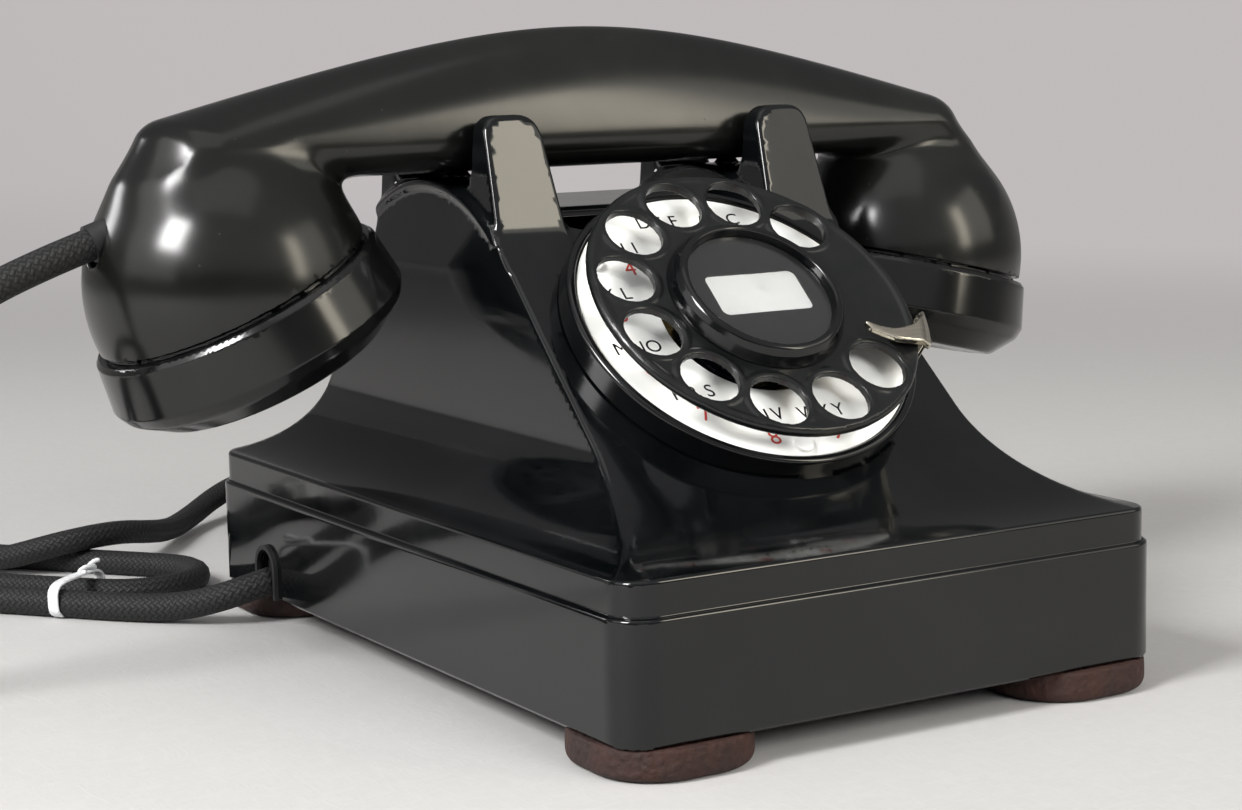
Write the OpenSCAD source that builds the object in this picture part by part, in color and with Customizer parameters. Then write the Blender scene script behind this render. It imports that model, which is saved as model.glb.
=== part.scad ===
// Rotary desk telephone: metal housing on a plinth, dial, cradle, ringer and handset.
// Frame: +X to the right, +Y to the back, +Z up, origin on the floor under the middle of the
// whole telephone with its handset.

/* [Base] */
// Width of the plinth
base_w = 134.8; // [133:0.2:137]
// Depth of the plinth
base_d = 203.2; // [202:0.2:205]
// Height of the leather feet
foot_h = 6.9; // [6:0.1:7.4]
// Height of the step round the plinth
step_z = 32.3; // [31:0.1:33]
// Height of the plinth's top edge
plinth_z = 39.5; // [39:0.1:40]
// How far right of the origin the plinth's middle is
centre_x = 3.2; // [3:0.1:3.4]
// How far the upper band stands back from the lower one
step_in = 1.1; // [0.8:0.1:1.4]
// Radius of the plinth's upright corners
corner_r = 8; // [7:0.5:9]
// Thickness of the housing wall
wall = 2.4; // [2:0.1:2.6]

/* [Cradle] */
// Height of the deck between the saddles
deck_z = 104; // [103.5:0.1:104.5]
// Height of the saddles at their crown
saddle_z = 110.3; // [109.8:0.1:110.5]
// Height of the four ears
ear_z = 125; // [124:0.5:126]
// Inner side of an ear
ear_in = 28.6; // [28:0.1:29]
// Outer side of an ear at its top
ear_out = 43.3; // [43:0.1:43.6]
// Depth of the notch that the handle lies in
notch_d = 37.4; // [37:0.1:38]
// Middle of the notch from front to back
cradle_y = 20.2; // [20:0.1:20.4]

/* [Dial] */
// Slope of the dial from level
dial_tilt = 41.7; // [41.5:0.1:41.9]
// Middle of the finger wheel, from front to back
dial_y = -47; // [-47.2:0.1:-46.8]
// Height of the middle of the finger wheel
dial_z = 85; // [84.8:0.1:85.2]
// Diameter of the finger wheel
wheel_d = 77; // [76.6:0.2:77.2]
// Radius of the circle of finger holes
hole_circle_r = 30; // [29.8:0.1:30.2]
// Diameter of a finger hole
finger_hole_d = 13.3; // [13:0.1:13.6]
// Angle of the first finger hole
first_hole = 43; // [42:0.5:44]
// Depth of the number plate behind the wheel
plate_drop = 7.7; // [7.5:0.1:7.9]
// Depth of the bezel's seat behind the wheel
seat_drop = 12.9; // [12.8:0.1:13]
// Outer diameter of the bezel
bezel_d = 81.8; // [81.4:0.2:82]

/* [Handset] */
// Radius of the domed cups
cup_r = 31.8; // [31.6:0.1:32]
// Lean of the transmitter cup towards the middle
mouth_lean = 25.7; // [25:0.1:26]
// Lean of the receiver cup towards the middle
ear_lean = 13.1; // [13:0.1:13.5]
// Height of the handle's flat underside
grip_z = 112; // [111.9:0.1:112.2]
// Greatest height of the handle
crown_z = 144.3; // [143:0.1:145]

/* [Cords] */
// Diameter of the handset cord
hand_cord_d = 7; // [6.5:0.1:7]
// Diameter of the line cord
line_cord_d = 6.5; // [6:0.1:6.6]

/* [Hidden] */
$fn = 64;
eps = 0.01;

// Housing side profile, in y and z
front_c = [-108, 116.8];
front_r = 77.6;
back_c = [117.5, 91.3];
back_r = 54.4;
back_slope = 55.8;
ear_slope = 71.2;
ear_foot = [-6, 120];
ear_blend_r = 20;
back_y = 46.6;
back_blend_r = 15;
// Housing front profile, in x and z
side_c = [67.5, 59.6];
side_r = 20.1;
side_lean = 3.1;
// Saddle crown, an arc in y and z
saddle_r = 52.6;
lip_x = 45.1;

// Points on an arc from angle a0 to a1 in n steps
function arc(c, r, a0, a1, n) =
    [for (i = [0:n]) let (a = a0 + (a1 - a0) * i / n) c + r * [cos(a), sin(a)]];
function mirror_x(pts) = [for (i = [len(pts) - 1:-1:0]) [-pts[i][0], pts[i][1]]];
// Outward normal of an edge that climbs at angle a, with the solid on its right
function normal(a) = [-sin(a), cos(a)];
// The point at distance d1 from line 1 and d2 from line 2
function meet(p1, n1, d1, p2, n2, d2) =
    let (c1 = p1 * n1 + d1, c2 = p2 * n2 + d2, k = n1[0] * n2[1] - n1[1] * n2[0])
    [(c1 * n2[1] - c2 * n1[1]) / k, (n1[0] * c2 - n2[0] * c1) / k];

front_line = front_c + front_r * [sin(dial_tilt), -cos(dial_tilt)];
ear_blend_c = meet(front_line, normal(dial_tilt), ear_blend_r,
    ear_foot, normal(ear_slope), ear_blend_r);
back_line = back_c + back_r * [-sin(back_slope), -cos(back_slope)];
back_blend_c = meet(back_line, [sin(back_slope), cos(back_slope)], back_blend_r,
    [back_y, 0], [1, 0], back_blend_r);
// Side profile, shrunk by d for the inside of the wall; top is its flat top
function side_profile(d, top) = let (
    y0 = -base_d / 2 + step_in + d, y1 = base_d / 2 - step_in - d,
    a0 = -acos((y0 - front_c[0]) / (front_r + d)),
    b0 = -acos((y1 - back_c[0]) / (back_r + d)))
    concat([[y0, 20]],
        arc(front_c, front_r + d, a0, dial_tilt - 90, 14),
        arc(ear_blend_c, ear_blend_r + d, dial_tilt - 90, ear_slope - 90, 6),
        [meet([0, top], [0, 1], 0, ear_foot, normal(ear_slope), -d)],
        [[back_y - d, top]],
        arc(back_blend_c, back_blend_r + d, 180, 270 - back_slope, 6),
        arc(back_c, back_r + d, 270 - back_slope, 360 + b0, 12),
        [[y1, 20]]);
// Front profile, shrunk by d
function front_half(d, top) = let (
    x0 = base_w / 2 - step_in - d,
    p = side_c + (side_r + d) * [-cos(side_lean), -sin(side_lean)])
    concat([[x0, 20]],
        arc(side_c, side_r + d, 180 + acos((side_c[0] - x0) / (side_r + d)), 180 + side_lean, 12),
        [[p[0] - (top - p[1]) * tan(side_lean), top]]);
function front_profile(d, top) = concat(front_half(d, top), mirror_x(front_half(d, top)));
// Outline of the pair of ears in x and z
ear_corner_r = 4.5;
function ear_outline() = concat(
    [[ear_in - 0.8, 92]],
    arc([ear_in + ear_corner_r, ear_z - ear_corner_r], ear_corner_r, 180, 90, 6),
    arc([ear_out - ear_corner_r, ear_z - ear_corner_r], ear_corner_r, 90, 0, 6),
    [[ear_out + 1.4, 98], [ear_out + 1.4, 92]]);
// Notch between the front and rear ears, in y and z, over the saddle's crown
saddle_c = [cradle_y, saddle_z - saddle_r];
notch_blend = 4;
function notch() = let (
    h = notch_d / 2, a = acos((h - notch_blend) / saddle_r),
    z = saddle_c[1] + saddle_r * sin(a))
    concat([[cradle_y - h - 0.6, ear_z + 5]],
        arc([cradle_y - h + notch_blend, z + notch_blend], notch_blend, 180, 262, 5),
        arc(saddle_c, saddle_r, 180 - a, a, 12),
        arc([cradle_y + h - notch_blend, z + notch_blend], notch_blend, 278, 360, 5),
        [[cradle_y + h + 0.6, ear_z + 5]]);
// Everything above the saddle's crown
function above_saddle() = let (a = arc(saddle_c, saddle_r, 132, 58, 16))
    concat([[-60, ear_z + 5], [-60, a[0][1]]], a, [[80, a[16][1]], [80, ear_z + 5]]);

// Plungers stand in the saddles and touch the handle's underside
plunger_x = 37;
plunger_r = 3;
plunger_top = grip_z - 0.1;
running_gap = 0.05;

// Threaded lugs inside the housing's end walls
lug_y = 92;

// Dial pieces, measured back from the wheel's face
wheel_t = 1.8;
plate_t = 1;
plate_in_r = 20;
cup_deep = 34;
shaft_r = 3;
tooth_pitch = 0.6;
drive_teeth = 60;
pinion_teeth = 12;
drive_z = -19;
pulse_angle = 205;
pulse_r = tooth_pitch * (drive_teeth + pinion_teeth) / 2 + 0.1;
fast_pitch = 0.5;
fast_teeth = 36;
fly_teeth = 12;
fly_d = fast_pitch * (fast_teeth + fly_teeth) / 2 + 0.1;
fast_z = -27;
// Angle from the pulse shaft to the governor shaft
fly_angle = 60;

// Handset joints: middles of the rims where the caps screw on
mouth_c = [-93.9, cradle_y, 88.7];
ear_c = [89.2, cradle_y, 84];
cup_in = 28.6;
cap_thread_r = 28.2;

// Ringer
gong_r = 24;
gong_x = 29;
gong_y = 62;
gong_z = 27;
floor_z = foot_h + 2;

// Arched inlet in the left wall, and the round one in the back wall
inlet_y = 69.5;
inlet_r = 4.7;
inlet_z = 14;
back_inlet = [30, 16];

// Handset cord: down from the mouthpiece to a coil, then from the coil to the left inlet
exit_fall = 18.8;
hand_route = [[-126, 20.2, 100], [-137, 20.2, 96.2], [-150, 21, 90.5], [-163, 23, 81],
    [-175, 27, 66], [-184, 32, 48], [-191, 38, 30], [-199, 43, 14], [-210, 46, 4.5],
    [-222, 46.8, 3.5]];
coil_c = [-215, 92];
coil_in = 28;
coil_out = 49;
inlet_route = [[-203, 124.6, 10.4], [-194, 128, 10.4], [-180, 134, 10.5], [-166, 140, 6.5],
    [-152, 142.5, 3.6], [-138, 138, 3.5], [-127, 130, 3.5], [-117, 120, 3.5], [-108, 109, 3.5],
    [-100, 99, 3.5], [-92, 90, 3.6], [-84.5, 82, 4.6], [-78.5, 75.2, 6.9], [-73, 71, 9.2],
    [-66.6, 69.5, 10.9]];
// Line cord: from the back inlet into a coil, across to a tied hank, then to the plug
line_route = [[30, 104.4, 16], [30, 111, 15.4], [30.4, 118, 12.6], [34, 127, 8.6], [41, 136.5, 5],
    [50.5, 147, 3.5], [58.2, 158.5, 3.3], [62.2, 169.5, 3.3], [63.1, 180, 3.3]];
loop_c = [20, 180];
loop_in = 26.4;
loop_out = 46.4;
link_route = [[10.6, 222.1, 9.9], [-2, 219.3, 9.9], [-14.5, 214.3, 9.4], [-26.5, 206.8, 7.2],
    [-37, 197.5, 4.8], [-46, 187, 4.2], [-54, 176.5, 5.2], [-63, 166.5, 7.4], [-73, 159.3, 9.6],
    [-84, 156, 9.9], [-94, 158.5, 8.2], [-103, 167.5, 4.6]];
hank_outer = [[-81, 127], [-127, 182]];
hank_inner = [[-83.5, 125], [-129.5, 180]];
hank_out = 19.8;
hank_in = 9.8;
plug_route = [[-108, 186, 3.3], [-116, 195.4, 3.3], [-124, 204.6, 3.3], [-131, 213, 3.6]];

// Curve through the points p, with n steps from each point to the next
function spline(p, n) = let (e = concat([2 * p[0] - p[1]], p, [2 * p[len(p) - 1] - p[len(p) - 2]]))
    concat([for (i = [1:len(p) - 1], j = [0:n - 1]) let (t = j / n)
        0.5 * (2 * e[i] + (e[i + 1] - e[i - 1]) * t
        + (2 * e[i - 1] - 5 * e[i] + 4 * e[i + 1] - e[i + 2]) * t * t
        + (3 * e[i] - e[i - 1] - 3 * e[i + 1] + e[i + 2]) * t * t * t)], [p[len(p) - 1]]);
function unit(v) = v / norm(v);

// Round tube of n sides along a curve
module tube(line, r, n) {
    m = len(line);
    rings = [for (i = [0:m - 1]) let (
        t = unit(line[min(i + 1, m - 1)] - line[max(i - 1, 0)]),
        u = unit(cross([0, 0, 1], t)), v = cross(t, u))
        for (k = [0:n - 1]) line[i] + r * (cos(360 * k / n) * u + sin(360 * k / n) * v)];
    sides = [for (i = [0:m - 2], k = [0:n - 1]) let (k2 = (k + 1) % n)
        [i * n + k, i * n + k2, (i + 1) * n + k2, (i + 1) * n + k]];
    polyhedron(rings, concat([[for (k = [n - 1:-1:0]) k]], sides,
        [[for (k = [0:n - 1]) (m - 1) * n + k]]));
}

module rounded_block(w, d, h, r) {
    linear_extrude(h) {
        square([w - 2 * r, d], center = true);
        square([w, d - 2 * r], center = true);
        for (x = [-1, 1], y = [-1, 1]) translate([x * (w / 2 - r), y * (d / 2 - r)]) circle(r);
    }
}

// Extrudes a y-z outline along x between two places
module along_x(x0, x1) {
    translate([x0, 0, 0]) rotate([90, 0, 90]) linear_extrude(x1 - x0) children();
}

// Extrudes an x-z outline along y between two places
module along_y(y0, y1) {
    translate([0, y1, 0]) rotate([90, 0, 0]) linear_extrude(y1 - y0) children();
}

module at_dial() {
    translate([0, dial_y, dial_z]) rotate([dial_tilt, 0, 0]) children();
}

// Body of the housing, shrunk by d, up to a flat top
module body_form(d, top) {
    intersection() {
        along_x(-70, 70) polygon(side_profile(d, top));
        along_y(-110, 110) polygon(front_profile(d, top));
    }
}

module housing() {
    color("#15171a") difference() {
        housing_shell();
        for (y = [-lug_y, lug_y]) translate([0, y, floor_z - 1]) cylinder(h = 9, r = 2.05);
    }
}

module housing_shell() {
    difference() {
        housing_form();
        housing_hollow();
    }
    for (y = [-lug_y, lug_y])
        translate([-6, y < 0 ? y - 8 : y - 5, floor_z]) cube([12, 13, 12]);
}

module housing_form() {
    difference() {
        union() {
            translate([0, 0, foot_h]) rounded_block(base_w, base_d, step_z - foot_h, corner_r);
            translate([0, 0, step_z - eps])
                rounded_block(base_w - 2 * step_in, base_d - 2 * step_in, plinth_z - step_z - 0.2,
                    corner_r - step_in);
            difference() {
                intersection() {
                    body_form(0, saddle_z);
                    translate([0, 0, 20]) rounded_block(base_w - 2 * step_in,
                        base_d - 2 * step_in, 120, corner_r - step_in);
                }
                along_x(-80, 80) polygon(above_saddle());
            }
            intersection() {
                along_x(-ear_out - 3, ear_out + 3) polygon(side_profile(0, ear_z));
                along_y(-40, 60) union() {
                    polygon(ear_outline());
                    polygon(mirror_x(ear_outline()));
                }
            }
        }
        // notch for the handle and deck between the saddles
        along_x(-ear_out - 5, ear_out + 5) polygon(notch());
        along_x(-ear_in, ear_in) polygon([[-30, deck_z], [70, deck_z], [70, 140], [-30, 140]]);
        // seat and opening for the dial
        at_dial() {
            translate([0, 0, -seat_drop]) cylinder(h = 40, r = bezel_d / 2 + 0.15);
            translate([0, 0, -40]) cylinder(h = 40, r = bezel_d / 2 - 3.4);
        }
        // plunger bores and the two cord inlets
        for (x = [-plunger_x, plunger_x])
            translate([x, cradle_y, 90]) cylinder(h = 40, r = plunger_r + running_gap);
        along_x(-base_w / 2 - 5, -base_w / 2 + 10) inlet_arch(inlet_r);
        translate([back_inlet[0], base_d / 2 + 5, back_inlet[1]]) rotate([90, 0, 0])
            cylinder(h = 15, r = 5.5);
    }
}

// Arch over the cord's way in, in y and z
module inlet_arch(r) {
    translate([inlet_y, inlet_z]) circle(r);
    translate([inlet_y - r, 2]) square([2 * r, inlet_z - 2]);
}

module housing_hollow() {
    translate([0, 0, foot_h - 1])
        rounded_block(base_w - 2 * wall, base_d - 2 * wall, plinth_z - wall - foot_h + 1,
            corner_r - wall);
    intersection() {
        body_form(wall, deck_z + 12);
        translate([0, 0, 20]) rounded_block(base_w - 2 * wall - 2 * step_in,
            base_d - 2 * wall - 2 * step_in, deck_z - wall - 20, corner_r - wall - step_in);
    }
}

module base_plate() {
    color("#3a3b3c") difference() {
        translate([0, 0, foot_h])
            rounded_block(base_w - 2 * wall - 1, base_d - 2 * wall - 1, 2, corner_r - wall - 0.5);
        for (x = [-1, 1], y = [-1, 1]) translate([x * 50.9, y * 86.2, foot_h - 1]) {
            cylinder(h = 4, r = 2.1);
        }
        for (y = [-lug_y, lug_y]) translate([0, y, foot_h - 1]) cylinder(h = 4, r = 2.1);
    }
}

module base_screws() {
    color("#8f8d86") for (y = [-lug_y, lug_y]) translate([0, y, foot_h - 1.5]) difference() {
        union() {
            cylinder(h = 1.5, r = 4);
            cylinder(h = 10, r = 2);
        }
        translate([-5, -0.5, -eps]) cube([10, 1, 0.8]);
    }
}

// Leather pad: a rounded square with a soft lower edge
module foot(x, y) {
    color("#4a2a22") translate([x * 50.9, y * 86.2, 0]) difference() {
        union() {
            translate([0, 0, 1.2]) rounded_block(35, 35, foot_h - 1.2, 14);
            rounded_block(33, 33, 1.2, 13);
        }
        translate([0, 0, -1]) cylinder(h = 3.5, r = 4.5);
        cylinder(h = 20, r = 2.1);
    }
}

module foot_front_left() { foot(-1, -1); }
module foot_front_right() { foot(1, -1); }
module foot_back_left() { foot(-1, 1); }
module foot_back_right() { foot(1, 1); }

module foot_rivets() {
    color("#8f8d86") for (x = [-1, 1], y = [-1, 1]) translate([x * 50.9, y * 86.2, 1.4]) {
        cylinder(h = 1.1, r = 4.2);
        cylinder(h = foot_h + 1.4, r = 2);
        translate([0, 0, foot_h + 0.6]) cylinder(h = 1, r = 3.4);
    }
}

module dial_bezel() {
    r = bezel_d / 2;
    color("#17181a") at_dial() difference() {
        rotate_extrude($fn = 96) polygon(concat(
            [[r - 7.4, -seat_drop], [r, -seat_drop], [r, -plate_drop + 0.6 - 1.2]],
            arc([r - 1.2, -plate_drop + 0.6 - 1.2], 1.2, 0, 180, 8),
            [[r - 2.4, -plate_drop - plate_t], [r - 7.4, -plate_drop - plate_t]]));
        for (a = [25:120:265]) rotate(a) translate([35.5, 0, -seat_drop - 1])
            cylinder(h = 10, r = 1.25);
    }
}

module dial_cup() {
    r = bezel_d / 2 - 3.6;
    color("#8b8880") at_dial() difference() {
        translate([0, 0, -cup_deep]) cylinder(h = cup_deep - seat_drop, r = r);
        translate([0, 0, -cup_deep + 1.2]) cylinder(h = cup_deep, r = r - 1);
        translate([0, 0, -cup_deep - 1]) cylinder(h = 5, r = shaft_r + running_gap);
    }
}

// The white plate behind the finger holes
module number_plate() {
    color("#efeee6") at_dial() translate([0, 0, -plate_drop - plate_t]) difference() {
        cylinder(h = plate_t, r = bezel_d / 2 - 2.5);
        translate([0, 0, -1]) cylinder(h = 3, r = plate_in_r);
        for (a = [25:120:265]) rotate(a) translate([35.5, 0, -1]) cylinder(h = 3, r = 1.3);
    }
}

module dial_screws() {
    color("#b9a676") at_dial() for (a = [25:120:265]) rotate(a)
        translate([35.5, 0, -plate_drop - 5]) {
            cylinder(h = 5, r = 1.2);
            translate([0, 0, 5]) cylinder(h = 0.9, r = 2.2);
        }
}

// Bent strip that stops the finger: it hooks over the wheel's edge
module finger_stop() {
    color("#d8cfae") at_dial() {
        translate([0, 0, 0.9]) linear_extrude(1.2) polygon([[21.5, -10.9], [24.7, -13.7],
            [28.4, -14.9], [33.9, -14.2], [38.4, -11.4], [39.9, -10.2], [40.8, -11.6], [40, -14.4],
            [38.3, -17], [35.6, -18.9], [32, -18.2], [27.4, -17], [23.2, -13.8]]);
        rotate(-20) translate([39.15, -4.2, -plate_drop + 1]) cube([1.3, 8.4, plate_drop + 0.2]);
    }
}

module finger_wheel() {
    r = wheel_d / 2;
    color("#1b1b1c") at_dial() difference() {
        rotate_extrude($fn = 96) polygon(concat([[6, -wheel_t], [r - 2.6, -wheel_t], [r - 2, -2.6]],
            arc([r - 1.3, -1.3], 1.3, -90, 90, 8), [[r - 2.6, -0.4], [6, -0.4]]));
        for (i = [0:9]) rotate(first_hole + 30 * i) translate([hole_circle_r, 0, -5]) {
            cylinder(h = 10, r = finger_hole_d / 2);
            translate([0, 0, 4]) cylinder(h = 1.2, r1 = finger_hole_d / 2 - 0.4,
                r2 = finger_hole_d / 2 + 0.8);
        }
    }
}

module card_ring() {
    color("#151516") at_dial() rotate_extrude($fn = 96) polygon(concat(
        [[17, -0.4], [20, -0.4], [20, 1.6]], arc([18.5, 2.5], 1.5, 0, 180, 10), [[17, 2]]));
}

module number_card() {
    color("#f6f5f0") at_dial() translate([0, 0, 0.4]) cylinder(h = 0.6, r = 16.9);
}

module card_mask() {
    color("#1a1a1b") at_dial() translate([0, 0, 1]) difference() {
        cylinder(h = 0.4, r = 16.9);
        translate([0, 0, -1]) rounded_block(23.4, 11.6, 3, 1.8);
    }
}

module card_cover() {
    color("#dfe4e6", 0.3) at_dial() translate([0, 0, 1.4]) cylinder(h = 0.5, r = 16.9);
}

module main_shaft() {
    color("#a8a59a") at_dial() {
        translate([0, 0, -cup_deep - 2]) cylinder(h = cup_deep - 1, r = shaft_r);
        translate([0, 0, -3.6]) cylinder(h = 4, r = 6);
        translate([0, 0, -14]) cylinder(h = 11, r = 5);
    }
}

// Flat gear; m is the size of a tooth
module gear(m, teeth, h, bore) {
    r = m * teeth / 2;
    step = 360 / teeth;
    difference() {
        linear_extrude(h) polygon([for (i = [0:teeth - 1], k = [[-0.27, -1.15], [-0.13, 0.9],
            [0.13, 0.9], [0.27, -1.15]]) let (a = step * (i + k[0]), q = r + m * k[1])
            q * [cos(a), sin(a)]]);
        translate([0, 0, -1]) cylinder(h = h + 2, r = bore);
    }
}

module drive_gear() {
    color("#b8964a") at_dial() translate([0, 0, drive_z]) difference() {
        rotate(pulse_angle) gear(tooth_pitch, drive_teeth, 1.5, 3);
        for (a = [0:72:288]) rotate(a) translate([10, 0, -1]) cylinder(h = 4, r = 3.2);
    }
}

// Wound flat strip round the shaft, fixed to the cup
module mainspring() {
    turns = 4;
    inner = [for (a = [0:15:360 * turns]) (6 + a * 8 / 360 / turns) * [cos(a), sin(a)]];
    outer = [for (a = [360 * turns:-15:0]) (6.6 + a * 8 / 360 / turns) * [cos(a), sin(a)]];
    color("#5c6068") at_dial() translate([0, 0, -16.5]) linear_extrude(2.5)
        polygon(concat(inner, outer));
}

module at_pulse() {
    rotate(pulse_angle) translate([pulse_r, 0, 0]) rotate(-pulse_angle) children();
}

module pulse_shaft() {
    color("#b8964a") at_dial() at_pulse() {
        translate([0, 0, -cup_deep + 1.3]) cylinder(h = 18, r = 1.2);
        translate([0, 0, drive_z - 0.3]) rotate(pulse_angle + 180 + 180 / pinion_teeth)
            gear(tooth_pitch, pinion_teeth, 2.1, 0.5);
        translate([0, 0, fast_z]) rotate(fly_angle) gear(fast_pitch, fast_teeth, 1.2, 0.5);
        // twin-lobed cam that opens the pulse springs
        translate([0, 0, -23.5]) for (a = [0, 180]) rotate(a + 40) translate([1.6, 0, 0])
            cylinder(h = 1.6, r = 2.2);
    }
}

module at_governor() {
    at_pulse() rotate(fly_angle) translate([fly_d, 0, 0]) rotate(-fly_angle) children();
}

module governor_shaft() {
    color("#b8964a") at_dial() at_governor() {
        translate([0, 0, -cup_deep + 1.3]) cylinder(h = 11, r = 1);
        translate([0, 0, fast_z - 0.3]) rotate(fly_angle + 180 + 180 / fly_teeth)
            gear(fast_pitch, fly_teeth, 1.8, 0.5);
    }
}

module governor_weights() {
    color("#9a7b3c") at_dial() at_governor() translate([0, 0, -cup_deep + 2]) {
        difference() {
            linear_extrude(1) square([11, 2.4], center = true);
            translate([0, 0, -1]) cylinder(h = 4, r = 1.02);
        }
        for (x = [-1, 1]) translate([x * 4.6, 0, 1]) cylinder(h = 2, r = 1.6);
    }
}

module governor_drum() {
    color("#8b8880") at_dial() at_governor() translate([0, 0, -cup_deep + 1.2]) difference() {
        cylinder(h = 4, r = 7.6);
        translate([0, 0, -1]) cylinder(h = 6, r = 6.9);
    }
}

module pulse_springs() {
    color("#c9b27a") at_dial() rotate(250) {
        for (i = [0:2]) translate([19.9 + 2 * i, -18, -24.5]) cube([0.5, 24.5, 3.4]);
        translate([19, 6, -cup_deep + 1.2]) cube([6.2, 5, cup_deep - 20.4]);
    }
}

module plunger(x) {
    color("#1c1c1d") translate([x, cradle_y, 0]) {
        translate([0, 0, 88]) cylinder(h = plunger_top - 89, r = plunger_r);
        translate([0, 0, plunger_top - 1 - eps]) cylinder(h = 1 + eps, r1 = plunger_r,
            r2 = plunger_r - 0.8);
    }
}

module plunger_left() { plunger(-plunger_x); }
module plunger_right() { plunger(plunger_x); }

// Cross bar that ties both plungers together and works the switch
module plunger_bar() {
    color("#77736a") {
        translate([-plunger_x - 4, cradle_y - 5, 86]) cube([2 * plunger_x + 8, 10, 2]);
        translate([-3, cradle_y - 1, 74]) cube([6, 2, 12]);
    }
}

module hook_spring_stack() {
    color("#c9b27a") {
        for (y = [-4.2, -2.2, 1.8, 3.8]) translate([-7, cradle_y + y, 60 - eps])
            cube([14, 0.6, y < 0 ? 17 : 14]);
        translate([-28.5, cradle_y - 8, 58]) cube([57, 16, 2]);
        for (x = [-28.5, 26]) translate([x, cradle_y - 8, floor_z]) cube([2.5, 10, 50]);
    }
}

// Bent bracket that carries the coils and the clapper's pivot
module ringer_frame() {
    color("#8f8d86") difference() {
        union() {
            translate([-24, 24, floor_z]) cube([48, 30, 2]);
            translate([-24, 24, floor_z]) cube([48, 2, 26]);
            translate([-6, 52, floor_z]) cube([12, 2, 8]);
        }
        for (x = [-13, 13]) translate([x, 20, 24]) rotate([-90, 0, 0]) cylinder(h = 10, r = 3.05);
    }
}

module gong(x) {
    color("#b08d45") translate([x, gong_y, gong_z]) rotate_extrude($fn = 72) polygon(concat(
        [[2.6, 0]], arc([gong_r - 9, -9], 9, 90, 0, 8), [[gong_r, -10.5], [gong_r - 1.3, -10.5]],
        arc([gong_r - 9, -9], 7.7, 0, 90, 8), [[2.6, -1.3]]));
}

module gong_left() { gong(-gong_x); }
module gong_right() { gong(gong_x); }

module gong_posts() {
    color("#8f8d86") for (x = [-gong_x, gong_x]) translate([x, gong_y, floor_z]) {
        cylinder(h = gong_z - 1.3 - floor_z, r = 4.5);
        cylinder(h = gong_z - floor_z + 3, r = 2.5);
        translate([0, 0, gong_z - floor_z]) cylinder(h = 2, r = 4.5);
    }
}

module ringer_coils() {
    color("#5d2f1e") for (x = [-13, 13]) translate([x, 23.8, 24]) rotate([90, 0, 0]) difference() {
        union() {
            cylinder(h = 26, r = 8);
            for (z = [0, 24.6]) translate([0, 0, z]) cylinder(h = 1.4, r = 9.4);
        }
        translate([0, 0, -1]) cylinder(h = 28, r = 3.05);
    }
}

module ringer_cores() {
    color("#77736a") for (x = [-13, 13]) translate([x, 30, 24]) rotate([90, 0, 0])
        cylinder(h = 33, r = 3);
}

// Armature with the clapper's rod and ball, on a pivot between the gongs
module clapper() {
    color("#a08d60") {
        translate([-18, 33, 21]) cube([36, 2.4, 6]);
        translate([0, 34, 13.5]) cylinder(h = 14, r = 1.4);
        translate([0, 34, 21]) rotate([-90, 0, 0]) cylinder(h = 26, r = 0.9);
        translate([0, gong_y, 21]) sphere(3.4);
    }
}

module induction_coil() {
    color("#6e5a3a") translate([-36, -20, floor_z + 11.2]) rotate([90, 0, 0]) {
        cylinder(h = 42, r = 9.5);
        for (z = [0, 42]) translate([-11, -11.2, z - 1]) cube([22, 22, 2]);
    }
}

module condenser() {
    color("#9b9c9a") {
        translate([2, -80, floor_z]) cube([52, 34, 20]);
        for (x = [16, 40]) translate([x, -63, floor_z + 20]) cylinder(h = 3, r = 2.5);
    }
}

module terminal_strip() {
    color("#2a221c") difference() {
        translate([-30, -17, floor_z]) cube([60, 13, 8]);
        for (i = [0:4]) translate([-24 + 12 * i, -10.5, floor_z + 3]) cylinder(h = 6, r = 1.55);
    }
}

module terminal_screws() {
    color("#b9a676") for (i = [0:4]) translate([-24 + 12 * i, -10.5, floor_z + 3]) {
        cylinder(h = 6, r = 1.5);
        translate([0, 0, 5]) difference() {
            cylinder(h = 2, r = 3.2);
            translate([-4, -0.4, 1.2]) cube([8, 0.8, 1]);
        }
    }
}

// Top edge of the handle over x
function spine(x) = crown_z - (sqrt(18 * 18 + pow(0.31 * (x + 2), 2)) - 18) - 0.012 * x;
// Half of a handle section; w, bottom, ridge and top in the places that x gives
function grip_half(w, b, s, t) = [[w * 0.74, b], [w * 0.93, b + (s - b) * 0.4], [w, s],
    [w * 0.97, s + (t - s) * 0.2], [w * 0.86, s + (t - s) * 0.44], [w * 0.66, s + (t - s) * 0.68],
    [w * 0.4, s + (t - s) * 0.87], [w * 0.16, t - 0.3]];
function grip_ring(x, w, b, s, t) = let (h = grip_half(w, b, s, t))
    concat([for (p = h) [x, cradle_y + p[0], p[1]]],
        [for (i = [len(h) - 1:-1:0]) [x, cradle_y - h[i][0], h[i][1]]]);
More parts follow.
